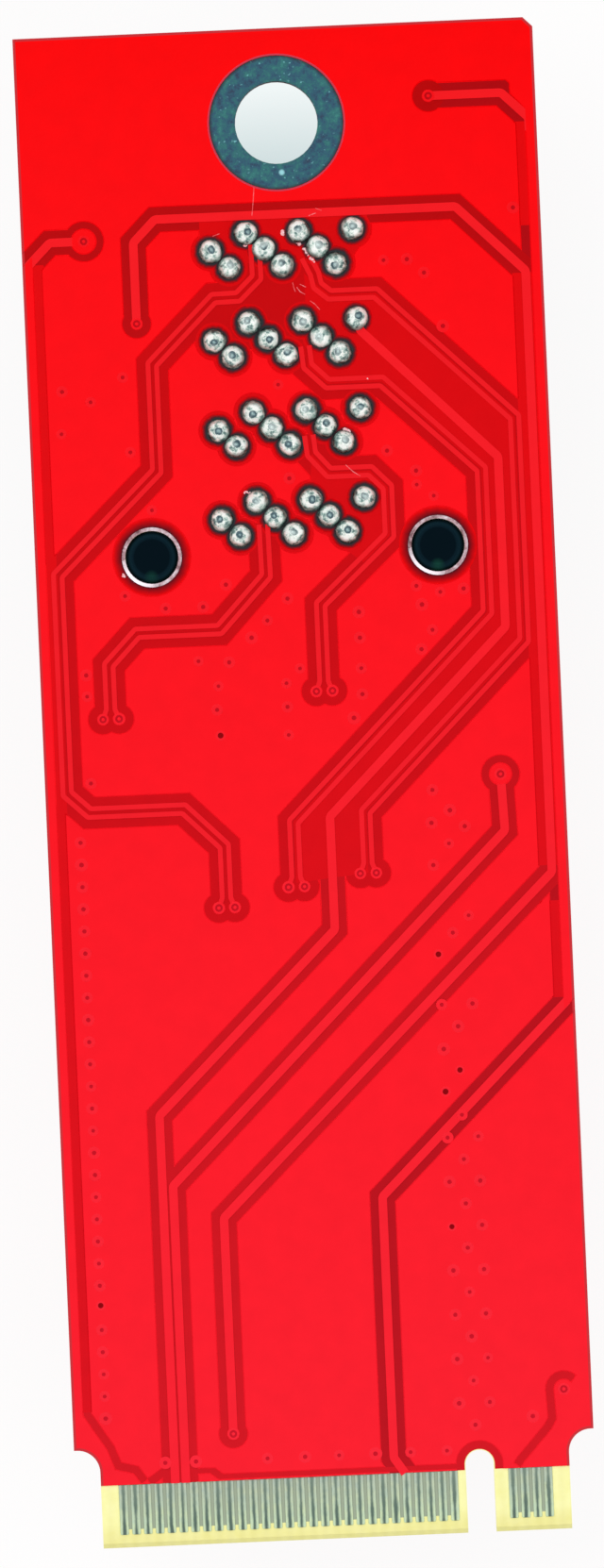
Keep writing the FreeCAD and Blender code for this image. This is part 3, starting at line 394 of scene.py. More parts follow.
singleLines = {
    "width": 0.34, "clearance": 0.35, "shoulder": 0.03, "cornerRadius": 0.24, "sink": 0.004,
    "upper": [(-6.27, 19.74), (-6.27, 23.17), (-5.32, 24.12), (7.41, 24.12), (10.27, 21.28), (10.27, -4.19),
              (-4.23, -18.22), (-4.23, -27.37)],
    "outer": [(6.47, 28.85), (9.55, 28.85), (10.67, 27.75), (10.67, -9.66), (2.51, -17.62), (2.51, -28.67),
              (2.96, lacquerEdge - 0.02)],
    "left": [(-8.36, 23.32), (-9.8, 23.32), (-10.75, 22.38), (-10.75, 21.88)],
    "middle": [(8.28, 0.04), (8.36, -2.35), (-6.32, -16.78), (-6.32, lacquerEdge - 0.02)],
    "fromPin": [(3.02, 19.59), (3.18, 19.04), (8.76, 13.47), (8.76, 6.26), (0.99, -1.45), (0.99, -6.23),
                (-6.77, -13.79), (-6.77, lacquerEdge - 0.02)],
}
linePairs = {
    "width": 0.19, "pitch": 0.36, "clearance": 0.38, "shoulder": 0.02, "cornerRadius": 0.15, "sink": 0.006,
    "viaSpread": 0.68, "viaDrop": 0.42, "viaHalo": 0.62,
    "leftPair": [(-1.13, 22.88), (-1.11, 21.48), (-1.94, 20.69), (-2.98, 20.67), (-5.69, 18.0), (-5.69, 13.47),
                 (-10.07, 9.24), (-10.07, -0.01), (-9.17, -0.86), (-5.17, -0.86), (-3.53, -2.5), (-3.53, -4.69)],
    "rightPair": [(0.99, 22.28), (1.34, 21.53), (1.44, 21.03), (1.94, 20.61), (3.88, 20.61), (9.53, 15.11),
                  (9.53, 5.66), (2.51, -1.3), (2.51, -3.49)],
    "innerPair": [(0.8, 18.5), (0.88, 17.65), (1.69, 16.86), (3.98, 16.86), (8.03, 12.97), (8.03, 6.91),
                  (-0.55, -1.6), (-0.55, -3.94)],
    "hookPair": [(0.8, 14.72), (0.88, 13.92), (1.59, 13.1), (3.33, 13.1), (4.03, 12.38), (4.03, 10.34),
                 (0.99, 7.55), (0.99, 4.29)],
    "cornerPair": [(-1.29, 11.03), (-1.26, 8.85), (-3.33, 6.66), (-6.82, 6.66), (-8.08, 5.36), (-8.08, 3.49)],
}
bareZones = {
    "betweenPairs": [*linePairs["rightPair"][2:-1], (2.51, -3.89), (-0.55, -4.19), *linePairs["innerPair"][-2:1:-1],
                     (0.9, 17.6), (0.9, 21.58)],
    "belowFirstRow": [(-4.38, 19.29), (-2.98, 20.69), (-1.29, 21.48), (1.39, 21.48), (3.88, 20.61), (4.28, 16.91),
                      (1.69, 16.86), (0.9, 17.6), (-0.2, 18.2), (-2.19, 18.6), (-3.68, 18.8)],
    "belowThirdRow": [*linePairs["hookPair"][1:6], (2.89, 9.24), (1.99, 9.94), (0.99, 10.84), (0.8, 12.83)],
    "aboveFirstRow": [(-3.44, 24.1), (-3.44, 23.2), (-2.4, 22.1), (2.9, 22.1), (3.55, 23.0), (3.7, 24.1)],
    "alongFingers": [(-5.97, -28.77), (-5.97, -28.98), (-5.27, -28.98), (-4.93, -29.26), (5.37, -29.26),
                     (5.37, -29.06), (-4.73, -29.06), (-5.07, -28.79)],
}
edgeBands = {
    "halfWidth": 0.16,
    "leftEdge": [(-10.25, 23.07), (-10.37, 22.28), (-10.37, -26.28), (-10.0, -26.87), (-9.45, -27.72),
                 (-9.15, -28.52), (-8.41, -28.72), (-8.06, -29.21)],
    "besideLeftVia": [(-7.85, -29.26), (-7.49, -29.03), (-7.08, -28.75)],
    "rightCorner": [*circle((9.82, -26.08), 0.6, (k * math.pi / 12 for k in range(3, 13))),
                    (9.28, -27.3), (9.08, -27.65), (7.9, -28.95), (7.72, -29.2)],
}


pinLook = {"jointDiameter": 1.0, "columns": 9}
pins = []
for row in "abcd":
    low, high = corners("solder_joints_row_" + row)
    step = (high.y - low.y - pinLook["jointDiameter"]) / 2
    pitch = (high.x - low.x - pinLook["jointDiameter"]) / (pinLook["columns"] - 1)
    rowPlace = middle("solder_joints_row_" + row)
    pins += [(rowPlace[0] + (column - 4) * pitch, rowPlace[1] + (0, -1, 1)[column % 3] * step)
             for column in range(pinLook["columns"])]
# each as (radius of the pad, radius of the bare halo)
endPads = {singleLines["upper"][0]: (0.26, 0.6), singleLines["upper"][-1]: (0.26, 0.6),
           singleLines["outer"][0]: (0.30, 0.66), singleLines["left"][0]: (0.52, 0.84),
           singleLines["middle"][0]: (0.46, 0.8), (9.82, -26.08): (0.34, 0.0)}
notch = {"x": 6.125, "y": tip + 2.9}
pairNames = ("leftPair", "rightPair", "innerPair", "hookPair", "cornerPair")
lineNames = ("upper", "outer", "left", "middle", "fromPin")


# copper that runs out to the card's long edges
keptCopper = ([(10.51, -10.06), (11.3, -9.27), (11.3, 30.5), (9.9, 30.5), (9.9, 28.8), (10.51, 28.14)],
              [(-10.54, -26.3), (-10.54, 22.82), (-11.3, 22.06), (-11.3, -26.3)])
# where the channels beside the long edges look paler
faintPlaces = ((9.7, 11.2, -9.5, -5.4), (9.7, 11.2, -3.9, 21.2), (10.0, 11.2, 23.2, 27.6),
               (-11.2, -10.1, -26.2, 22.4))


def direction(start, end):
    return (Vector(end) - Vector(start)).normalized()


def parallel(route, distance):
    legs = [direction(start, end) for start, end in zip(route, route[1:])]
    moved = []
    for i, point in enumerate(route):
        meeting = legs[max(i - 1, 0):i + 1]
        along = sum(meeting, Vector((0, 0))).normalized()
        reach = distance / along.dot(meeting[0])
        moved.append((point[0] - along.y * reach, point[1] + along.x * reach))
    return moved


# outline of a band along a route, its ends moved out by extra
def strip(route, half, extra=0.0):
    first, last = (Vector(at) + direction(before, at) * extra for before, at in ((route[1], route[0]), route[-2:]))
    longer = [tuple(first), *route[1:-1], tuple(last)]
    return parallel(longer, half) + parallel(longer, -half)[::-1]


def disc(centre, radius, sides=32):
    return circle(centre, radius, (2 * math.pi * (k + 0.5) / sides for k in range(sides)))


def counterClockwise(points):
    area = sum(a[0] * b[1] - b[0] * a[1] for a, b in zip(points, points[1:] + points[:1]))
    return list(points) if area > 0 else list(points)[::-1]


# a closed outline with every side moved out
def grown(points, distance):
    points = counterClockwise(points)
    moved = []
    for before, point, after in zip(points[-1:] + points[:-1], points, points[1:] + points[:1]):
        into = direction(before, point)
        along = (into + direction(point, after)).normalized()
        reach = distance / max(0.5, along.dot(into))
        moved.append((point[0] + along.y * reach, point[1] - along.x * reach))
    return moved


# outline round the key notch that runs off the lacquer's edge
def stadium(radius):
    x, y = notch["x"], notch["y"]
    arc = circle((x, y), radius, (math.pi * k / 20 for k in range(21)))
    return arc + [(x - radius, y - 1.5), (x + radius, y - 1.5)]


def pairVias(route):
    x, y = route[-1]
    return [(x + side * linePairs["viaSpread"] / 2, y - linePairs["viaDrop"]) for side in (-1, 1)]


# the gap round a pair of lines runs this far from the pair's middle
pairReach = linePairs["pitch"] / 2 + linePairs["width"] / 2 + linePairs["clearance"]
sheetLook = {"slope": 0.045, "bareRise": 0.02, "rimWidth": 0.11, "halfTongue": 9.925, "tongueLength": 4.2,
             "shoulderRadius": 0.95, "farCorner": 0.4, "pinHalo": 0.80, "pinOpening": 0.60, "pegHalo": 1.64,
             "pegOpening": 1.30, "landOpening": 2.845, "notchHalo": 0.98, "notchOpening": 0.64}


def cardOutline():
    halfTongue, radius, corner = sheetLook["halfTongue"], sheetLook["shoulderRadius"], sheetLook["farCorner"]
    shoulder = tip + sheetLook["tongueLength"]
    angles = (math.pi - k * math.pi / 24 for k in range(13))
    right = [(halfTongue, lacquerEdge), *circle((halfTongue + radius, shoulder - radius), radius, angles),
             (halfWidth, shoulder), (halfWidth, farEdge - corner), (halfWidth - corner, farEdge)]
    left = [(-x, y) for x, y in right[:-2]]
    return right + [(-halfWidth, farEdge)] + left[::-1]


def sharedOpenings():
    return [("opening", disc(centre, sheetLook["pegOpening"], 48)) for centre in pegCentres] + [
        ("opening", disc(screwCentre, sheetLook["landOpening"], 80)), ("opening", stadium(sheetLook["notchOpening"]))]


# every bare place has its slope round it
def solderSideLayout():
    slope = sheetLook["slope"]
    layout = [("board", cardOutline())]

    def bare(kind, outlineAt):
        layout.append((kind, outlineAt(0)))
        layout.append(("wide", outlineAt(slope)))

    for name in lineNames:
        half = singleLines["width"] / 2 + singleLines["clearance"]
        bare("outerChannel" if name == "outer" else "channel", lambda d: strip(singleLines[name], half + d, d))
    for name in pairNames:
        bare("pairChannel", lambda d: strip(linePairs[name], pairReach + d, 0.05 + d))
        for via in pairVias(linePairs[name]):
            bare("pairChannel", lambda d: disc(via, linePairs["viaHalo"] + d))
    for centre, (_, halo) in endPads.items():
        if halo:
            bare("channel", lambda d: disc(centre, halo + d))
    for name, outline in bareZones.items():
        kind = {"alongFingers": "channel", "belowFirstRow": "pairChannel"}.get(name, "zone")
        bare(kind, lambda d: grown(outline, d))
    for name in ("leftEdge", "besideLeftVia", "rightCorner"):
        bare("channel", lambda d: strip(edgeBands[name], edgeBands["halfWidth"] + d, d))
    for pin in pins:
        bare("zone", lambda d: disc(pin, sheetLook["pinHalo"] + d, 28))
        layout.append(("opening", disc(pin, sheetLook["pinOpening"], 28)))
    for centre in pegCentres:
        bare("zone", lambda d: disc(centre, sheetLook["pegHalo"] + d, 48))
    bare("channel", lambda d: stadium(sheetLook["notchHalo"] + d))
    layout.extend(sharedOpenings())
    for keep in keptCopper:
        layout += [("keep", keep), ("keepTop", grown(keep, -slope))]
    layout += [("faint", [(x0, y0), (x1, y0), (x1, y1), (x0, y1)]) for x0, x1, y0, y1 in faintPlaces]
    # outside this line runs the band of painted edge shade
    inner = grown(cardOutline(), -sheetLook["rimWidth"])
    # no rim at the fingers
    layout.append(("inner", [(x, y - 0.3 if y < lacquerEdge + 0.2 else y) for x, y in inner]))
    return layout


def componentSideLayout():
    layout = [("board", cardOutline())]
    for name in pairNames:
        left, right = pairVias(linePairs[name])
        x = left[0] / 2 + right[0] / 2
        route = [(x, left[1]), (x, lacquerEdge - 0.1)]
        layout += [("channel", strip(route, pairReach, 0.5)),
                   ("wide", strip(route, pairReach + sheetLook["slope"], 0.5))]
    for row in "abcd":
        y = middle("solder_joints_row_" + row)[1]
        layout.append(("opening", strip([(-3.5, y), (3.5, y)], 1.2)))
    return layout + sharedOpenings()


# kinds of bare places with their lacquers; where they overlap the first one shows
bareKinds = {"faint": "lacquerInFaintChannel", "zone": "lacquerOverGlass", "pairChannel": "lacquerBesidePairs",
             "channel": "lacquerInChannel", "outerChannel": "lacquerInOuterChannel"}
sheetLacquers = [lacquers[name] for name in ("lacquerOverCopper", *bareKinds.values(), "lacquerRimShade")]


# faces over copper stand high, bare ones low, with a short slope between them
def buildSheet(name, layout, glassLevel, copperLevel):
    up = 1 if copperLevel > glassLevel else -1
    bareLevel = glassLevel + up * sheetLook["bareRise"]
    points, faces = [], []
    for _, outline in layout:
        outline = counterClockwise(outline)
        faces.append(list(range(len(points), len(points) + len(outline))))
        points += [Vector(p) for p in outline]
    flat, _, triangles, _, _, sources = delaunay_2d_cdt(points, [], faces, 1, 1e-5, True)
    kinds = [{layout[i][0] for i in source} for source in sources]
    kept = [(t, k) for t, k in zip(triangles, kinds) if "board" in k and "opening" not in k]

    def isCrest(k):
        return "wide" not in k or "keepTop" in k

    rimIndex = len(bareKinds) + 1 if any(kind == "inner" for kind, _ in layout) else 0
    crestCorners = {corner for t, k in kept if isCrest(k) for corner in t}
    bm = bmesh.new()
    tops, bottoms = {}, {}
    for triangle, _ in kept:
        for corner in triangle:
            if corner not in tops:
                x, y = flat[corner]
                level = copperLevel if corner in crestCorners else bareLevel
                tops[corner] = bm.verts.new(place(x, y, level))
                bottoms[corner] = bm.verts.new(place(x, y, glassLevel))
    edgeUse = {}
    for triangle, kind in kept:
        a, b, c = triangle if up > 0 else triangle[::-1]
        face = bm.faces.new((tops[a], tops[b], tops[c]))
        copper = isCrest(kind) or "keep" in kind
        found = [k + 1 for k, bareKind in enumerate(bareKinds) if bareKind in kind and not copper] + [0]
        face.material_index = rimIndex if rimIndex and "inner" not in kind else found[0]
        bm.faces.new((bottoms[c], bottoms[b], bottoms[a])).material_index = 0
        edgeUse.update(dict.fromkeys(((a, b), (b, c), (c, a))))
    for start, end in edgeUse:
        if (end, start) not in edgeUse:
            bm.faces.new((tops[end], tops[start], bottoms[start], bottoms[end])).material_index = rimIndex
    return newObject(name, meshFromBmesh(name, bm), *sheetLacquers)


solderSheet = buildSheet("solderSideLacquer", solderSideLayout(), glassTop, lacquerHigh.z)
componentSheet = buildSheet("componentSideLacquer", componentSideLayout(), glassBottom, lacquerLow.z)
print("lacquer sheets", len(solderSheet.data.polygons), len(componentSheet.data.polygons), "faces")


# inputs are (name, kind)
def newTree(name, *inputs):
    tree = bpy.data.node_groups.new(name, "GeometryNodeTree")
    for label, kind in (("Geometry", "Geometry"), *inputs):
        tree.interface.new_socket(label, in_out="INPUT", socket_type="NodeSocket" + kind)
    tree.interface.new_socket("Geometry", in_out="OUTPUT", socket_type="NodeSocketGeometry")
    return tree, tree.nodes.new("NodeGroupInput"), tree.nodes.new("NodeGroupOutput")


# runs the tree on the carrier and keeps only the plain mesh that it makes
def bake(name, carrier, tree, values):
    modifier = carrier.modifiers.new(tree.name, "NODES")
    modifier.node_group = tree
    for item in tree.interface.items_tree:
        if item.in_out == "INPUT" and item.name in values:
            modifier[item.identifier] = values[item.name]
    bpy.context.view_layer.update()
    evaluated = carrier.evaluated_get(bpy.context.evaluated_depsgraph_get())
    mesh = bpy.data.meshes.new_from_object(evaluated)
    mesh.name = name
    bpy.data.objects.remove(carrier)
    return newObject(name, mesh)


# puts a template on every point, each turned, tilted and sized a little differently
def scatterTree():
    tree, start, end = newTree("scatterTemplate", ("Template", "Object"), ("Turn", "Float"), ("Tilt", "Float"),
                               ("Size Spread", "Float"), ("Dent", "Float"), ("Seed", "Int"), ("Finish", "Material"),
                               ("Second Finish", "Material"))
    given = start.outputs

    def addRandom(smallest, largest, seed):
        inputs = {2: smallest, 3: largest, "Seed": seed}
        return addNode(tree, "FunctionNodeRandomValue", inputs, data_type="FLOAT")[1]

    turns = {}
    for k, (axis, label) in enumerate((("X", "Tilt"), ("Y", "Tilt"), ("Z", "Turn"))):
        seed = addNode(tree, "FunctionNodeIntegerMath", {0: given["Seed"], 1: k})[0]
        turns[axis] = addRandom(addMath(tree, "MULTIPLY", given[label], -1), given[label], seed)
    smallest, largest = (addMath(tree, operation, 1, given["Size Spread"]) for operation in ("SUBTRACT", "ADD"))
    instances = addNode(tree, "GeometryNodeInstanceOnPoints", {
        "Points": given["Geometry"],
        "Instance": addNode(tree, "GeometryNodeObjectInfo", {"Object": given["Template"]})["Geometry"],
        "Rotation": addNode(tree, "ShaderNodeCombineXYZ", turns)["Vector"],
        "Scale": addRandom(smallest, largest, given["Seed"])})
    realized = addNode(tree, "GeometryNodeRealizeInstances", {"Geometry": instances["Instances"]})

    position = addNode(tree, "GeometryNodeInputPosition")
    inputs = {"Scale": 1 / (0.55 * mm), "Detail": 1, "Vector": position[0]}
    inputs = {0: addNode(tree, "ShaderNodeTexNoise", inputs)["Color"], 1: (0.5, 0.5, 0.5)}
    inputs = {0: addNode(tree, "ShaderNodeVectorMath", inputs, operation="SUBTRACT")[0], "Scale": given["Dent"]}
    dent = addNode(tree, "ShaderNodeVectorMath", inputs, operation="SCALE")
    pushed = addNode(tree, "GeometryNodeSetPosition", {"Geometry": realized[0], "Offset": dent[0]})

    inputs = {"Geometry": pushed[0], "Material": given["Finish"]}
    first = addNode(tree, "GeometryNodeSetMaterial", inputs)
    marked = addNode(tree, "GeometryNodeInputNamedAttribute", {"Name": "second"}, data_type="BOOLEAN")
    inputs = {"Geometry": first[0], "Selection": marked[0], "Material": given["Second Finish"]}
    feed(tree, end.inputs[0], addNode(tree, "GeometryNodeSetMaterial", inputs)[0])
    return tree


scatter = scatterTree()


def storeValues(mesh, name, kind, domain, values):
    mesh.attributes.new(name, kind, domain).data.foreach_set("value", values)


# template is a mesh round the origin; its faces with material index 1 get the second finish
def scattered(name, template, places, level, finish, secondFinish=None, turn=0.0, tilt=0.0, spread=0.0, dent=0.0,
              seed=1):
    distances = [vert.co.xy.length for vert in template.vertices]
    storeValues(template, "reach", "FLOAT", "POINT", [distance / max(distances) for distance in distances])
    storeValues(template, "second", "BOOLEAN", "FACE", [face.material_index == 1 for face in template.polygons])
    source = newObject(name + "Template", template)
    cloud = bpy.data.meshes.new(name + "Points")
    cloud.from_pydata([tuple(place(x, y, level)) for x, y in places], [], [])
    made = bake(name, newObject(name + "Carrier", cloud), scatter, {
        "Template": source, "Turn": turn, "Tilt": tilt, "Size Spread": spread, "Dent": dent * mm, "Seed": seed,
        "Finish": finish, "Second Finish": secondFinish or finish})
    bpy.data.objects.remove(source)
    return made


# sweeps a low ridge along every curve
def ridgeTree():
    tree, start, end = newTree("printedRidge", ("Width", "Float"), ("Height", "Float"), ("Corner Radius", "Float"),
                               ("Finish", "Material"))
    given = start.outputs
    inputs = {"Curve": given["Geometry"], "Radius": given["Corner Radius"], "Count": 4}
    fillet = addNode(tree, "GeometryNodeFilletCurve", inputs, mode="POLY")
    upright = addNode(tree, "GeometryNodeSetCurveNormal", {0: fillet[0]}, mode="Z_UP")
    inputs = {"Height": given["Height"], "Bottom Width": given["Width"], "Offset": 0,
              "Top Width": addMath(tree, "SUBTRACT", given["Width"], given["Height"])}
    profile = addNode(tree, "GeometryNodeCurvePrimitiveQuadrilateral", inputs, mode="TRAPEZOID")
    inputs = {"Curve": upright[0], "Profile Curve": profile[0], "Fill Caps": True}
    swept = addNode(tree, "GeometryNodeCurveToMesh", inputs)
    realized = addNode(tree, "GeometryNodeRealizeInstances", {0: swept[0]})
    flat = addNode(tree, "GeometryNodeSetShadeSmooth", {"Geometry": realized[0], "Shade Smooth": False})
    finish = addNode(tree, "GeometryNodeSetMaterial", {"Geometry": flat[0], "Material": given["Finish"]})
    feed(tree, end.inputs[0], finish[0])
    return tree


ridges = ridgeTree()


def sweptLines(name, routes, width, cornerRadius, bareLevel, copperLevel, finish):
    curve = bpy.data.curves.new(name + "Routes", "CURVE")
    curve.dimensions = "3D"
    height = abs(copperLevel - bareLevel) + 0.01
    level = copperLevel - math.copysign(height / 2, copperLevel - bareLevel)
    for route in routes:
        spline = curve.splines.new("POLY")
        spline.points.add(len(route) - 1)
        for point, (x, y) in zip(spline.points, route):
            point.co = (*place(x, y, level), 1)
    return bake(name, newObject(name + "Carrier", curve), ridges, {
        "Width": width * mm, "Height": height * mm, "Corner Radius": cornerRadius * mm, "Finish": finish})


def printedLines(name, routes, look, bareLevel, outside, finish):
    level = outside - math.copysign(look["sink"], outside - bareLevel)
    return sweptLines(name, routes, look["width"] + look["shoulder"], look["cornerRadius"], bareLevel, level, finish)


outer = singleLines["outer"]
lineRoutes = [singleLines[name] for name in ("upper", "middle", "fromPin")]
lineRoutes += [outer[:3] + [(10.67, 27.2)], [(10.67, -9.66)] + outer[4:], singleLines["left"]]
pairRoutes, lowerRoutes = [], []
for name in pairNames:
    vias = pairVias(linePairs[name])
    viasMiddle = (vias[0][0] + vias[1][0]) / 2
    for side, via in zip((-1, 1), vias):
        shift = side * linePairs["pitch"] / 2
        pairRoutes.append(parallel(linePairs[name], shift) + [via])
        lowerRoutes.append([via, (viasMiddle + shift, via[1] - 0.5), (viasMiddle + shift, lacquerEdge + 0.02)])
bareTop, bareBottom = glassTop + sheetLook["bareRise"], glassBottom - sheetLook["bareRise"]
shownLines = printedLines("printedLines", lineRoutes, singleLines, bareTop, lacquerHigh.z,
                          lacquers["lacquerOverLine"])
shownPairs = printedLines("printedPairs", pairRoutes, linePairs, bareTop, lacquerHigh.z, lacquers["lacquerOverPair"])
lowerPairs = printedLines("componentSidePairs", lowerRoutes, linePairs, bareBottom, lacquerLow.z,
                          lacquers["lacquerOverCopper"])
print("printed lines swept")


stitching = {
    "leftColumn": {"x": -9.6, "top": -2.1, "pitch": 0.938, "count": 27},
    "fingerRow": {"y": -28.47, "x": (-7.16, -5.86, -2.83, -1.24, 0.2, 1.74, 3.23, 4.77)},
    "field": {"x": (5.37, 6.02, 6.67), "top": -9.61, "pitch": 1.876, "count": 10,
              "missing": {(2, 2), (2, 0), (1, 2)}},
    "upperField": [(5.37, -0.51), (6.07, -1.4), (5.27, -1.9), (6.67, -2.1), (5.97, -2.8), (5.27, -3.69),
                   (6.67, -5.88), (5.97, -6.58), (5.27, -7.37)],
    "loose": [(-9.55, 17.0), (-8.36, 16.51), (-6.96, 17.5), (-9.65, 15.21), (-6.77, 14.32), (-0.4, 16.91),
              (-0.1, 12.93), (9.85, 23.97), (4.28, 21.98), (5.27, 21.98), (5.97, 21.38), (6.67, 19.09),
              (4.08, 13.92), (5.27, 13.02), (5.27, 12.43), (5.97, 11.93), (5.07, 8.15), (6.07, 7.85), (7.06, 7.95),
              (5.27, 7.35), (2.59, 7.15), (2.59, 6.06), (5.67, 6.26), (5.17, 5.46), (2.59, 4.77), (2.59, 3.67),
              (2.19, 2.68), (-5.97, 11.83), (-7.26, 8.25), (-5.57, 7.65), (-3.98, 7.65), (-2.98, 8.55),
              (-0.4, 7.85), (-1.29, 6.96), (-1.99, 6.26), (-4.28, 5.36), (-2.98, 5.26), (-9.05, 4.97),
              (-9.05, 4.07), (-3.48, 4.27), (-3.58, 3.27), (-0.6, 4.27), (-0.6, 3.27), (-0.6, 2.08), (0.0, 4.87),
              (-9.05, 0.39), (8.46, -27.17)],
    "open": [(-3.48, 2.18), (5.32, -7.47), (6.02, -12.4), (5.37, -13.29), (5.39, -19.01), (-9.6, -21.7)],
}
column, field = stitching["leftColumn"], stitching["field"]
stitchPlaces = [(column["x"], column["top"] - k * column["pitch"]) for k in range(column["count"])]
stitchPlaces += [(x, stitching["fingerRow"]["y"]) for x in stitching["fingerRow"]["x"]]
for k in range(field["count"]):
    for j, x in enumerate(field["x"]):
        if (k, j) not in field["missing"]:
            stitchPlaces.append((x, field["top"] - (k + (0.5 if j == 1 else 0)) * field["pitch"]))
stitchPlaces += stitching["upperField"] + stitching["loose"]
stitchPlaces = [spot for spot in stitchPlaces if all(math.dist(spot, other) > 0.4 for other in stitching["open"])]
rimTop = lacquerHigh.z
viaRim, viaHole, openHole = (lacquers[name] for name in ("lacquerOverVia", "lacquerInVia", "openVia"))

stitchVias = scattered("stitchingVias", revolve([
    (0.27, -0.02), (0.25, 0.003), (0.20, 0.008), (0.15, 0.007), (0.09, 0.005), (0.075, 0.003, 1),
    (0.0, 0.003, 1)], 16), stitchPlaces, rimTop, viaRim, viaHole, turn=3.1, spread=0.12, seed=5)
openVias = scattered("openVias", revolve([
    (0.24, -0.02), (0.21, 0.006), (0.12, 0.006), (0.09, 0.003, 1), (0.0, 0.003, 1)], 16),
    stitching["open"], rimTop, viaRim, openHole, turn=3.1, spread=0.1, seed=6)
signalPlaces = [via for name in pairNames for via in pairVias(linePairs[name])] + list(endPads)
signalVias = scattered("signalVias", revolve([
    (0.27, -0.05), (0.25, 0.002), (0.21, 0.008), (0.16, 0.006), (0.13, 0.003, 1), (0.07, 0.002, 1),
    (0.0, 0.006)], 20), signalPlaces, rimTop, viaRim, viaHole, turn=3.1, spread=0.04, seed=7)
widePads = []
for centre, (radius, _) in endPads.items():
    if radius > 0.4:
        pad = revolve([(radius + 0.04, -0.05), (radius - 0.02, 0.0), (radius - 0.06, 0.002), (0.0, 0.002)], 32)
        name = "widePad%d" % len(widePads)
        widePads.append(scattered(name, pad, [centre], rimTop - 0.004, lacquers["lacquerOverCopper"]))
landRims = scattered("landRim", revolve([
    (2.93, -0.01), (2.91, 0.003), (2.88, 0.006), (2.855, 0.004), (2.85, -0.01)], 80),
    [screwCentre], rimTop, lacquers["lacquerEdge"])
print("vias placed", len(stitchPlaces) + len(signalPlaces))


jointLook = {"radius": 0.5, "height": 0.52, "tipRadius": 0.165, "sides": 28, "tilt": 0.24}
tipRadius, tipHeight = jointLook["tipRadius"], jointLook["height"]
steps = (k / 8 * math.pi / 2 for k in range(8))
profile = [(jointLook["radius"] * math.cos(step) ** 0.8, tipHeight * math.sin(step) ** 1.1) for step in steps]
profile = [ring for ring in profile if ring[0] > tipRadius + 0.03]
profile += [(tipRadius + 0.015, tipHeight - 0.012), (tipRadius, tipHeight - 0.006, 1),
            (tipRadius - 0.045, tipHeight - 0.022, 1), (tipRadius - 0.075, tipHeight - 0.010, 1),
            (0.04, tipHeight + 0.002, 1), (0.0, tipHeight + 0.004, 1)]
joints = scattered("solderJoints", revolve(profile, jointLook["sides"]), pins, glassTop, solderMetal, tipMetal,
                   turn=3.1, tilt=jointLook["tilt"], spread=0.03, dent=0.10, seed=11)
smoothShade(joints.data, 60)

filmLevel = glassTop + 0.001
# rings of burnt flux and painted shade round every joint
fluxRings = scattered("fluxRings", revolve([
    (0.73, 0.0), (0.715, 0.022), (0.64, 0.026), (0.57, 0.03), (0.48, 0.034), (0.40, 0.02), (0.0, 0.02)], 24),
    pins, filmLevel, fluxAndShadeFilm, turn=3.1, spread=0.05, seed=12)
smoothShade(fluxRings.data, 60)
# painted shade round the peg rings
pegShadeFilms = scattered("pegFluxFilms", revolve([
    (1.66, 0.0), (1.65, 0.03), (1.55, 0.031), (1.45, 0.032), (1.34, 0.033), (1.265, 0.034), (1.26, 0.0)], 48),
    pegCentres, filmLevel, pegShadeFilm, seed=13)
print("solder joints placed", len(pins))


random.seed(4)
crumbLook = {"radius": 0.065, "scatter": 0.022, "spacing": 0.05, "hairWidth": 0.03, "hairThickness": 0.005}
crumbRoutes = [[(0.62, 22.95), (0.8, 22.78)], [(0.92, 22.6), (1.12, 22.35)], [(1.2, 22.22), (1.38, 22.03)],
               [(0.04, 23.42), (0.08, 23.2)], [(-1.58, 22.9), (-1.5, 22.84)], [(-7.29, 9.16), (-7.24, 9.05)],
               [(3.4, 17.0), (3.41, 16.98)], [(-2.0, 12.42), (-1.8, 12.36)], [(2.3, 14.9), (2.5, 14.8)]]
scratches = [[(0.4, 21.2), (0.44, 20.98), (0.5, 20.8)], [(0.56, 21.0), (0.7, 20.8), (0.9, 20.68)],
             [(0.7, 21.12), (0.95, 20.98)], [(-1.06, 25.3), (-1.12, 24.7), (-1.2, 24.1)],
             [(-2.6, 23.4), (-2.9, 23.3)], [(1.1, 20.4), (1.3, 20.25), (1.5, 20.0)],
             [(2.3, 13.4), (2.6, 13.1), (2.9, 12.9)], [(1.5, 24.3), (1.75, 24.2)], [(1.2, 24.0), (1.5, 24.1)]]
crumbPlaces = []
for start, end in crumbRoutes:
    along = Vector(end) - Vector(start)
    for k in range(1 + int(along.length / crumbLook["spacing"])):
        spot = Vector(start) + along.normalized() * k * crumbLook["spacing"]
        crumbPlaces.append([value + random.gauss(0, crumbLook["scatter"]) for value in spot])
crumbBm = bmesh.new()
bmesh.ops.create_icosphere(crumbBm, subdivisions=2, radius=crumbLook["radius"] * mm)
bmesh.ops.scale(crumbBm, vec=(1, 0.75, 0.28), verts=crumbBm.verts)
trails = scattered("fluxCrumbs", meshFromBmesh("crumb", crumbBm), crumbPlaces, lacquerHigh.z - 0.01, residue,
                   turn=3.1, tilt=0.3, spread=0.4, dent=0.05, seed=3)
hairs = sweptLines("scratches", scratches, crumbLook["hairWidth"], 0.01, lacquerHigh.z,
                   lacquerHigh.z + crumbLook["hairThickness"], scratchedLacquer)
print("flux trails laid")


fingerLook = {"width": 0.36, "length": fingerHigh.y - fingerLow.y - 0.01, "thickness": 0.05, "pitch": 0.5,
              "outer": 9.0, "cornerRadius": 0.06, "edgeRadius": 0.015}


def bevelEdges(bm, edges, radius, segments):
    bmesh.ops.bevel(bm, geom=edges, offset=radius * mm, segments=segments, affect="EDGES", profile=0.5)


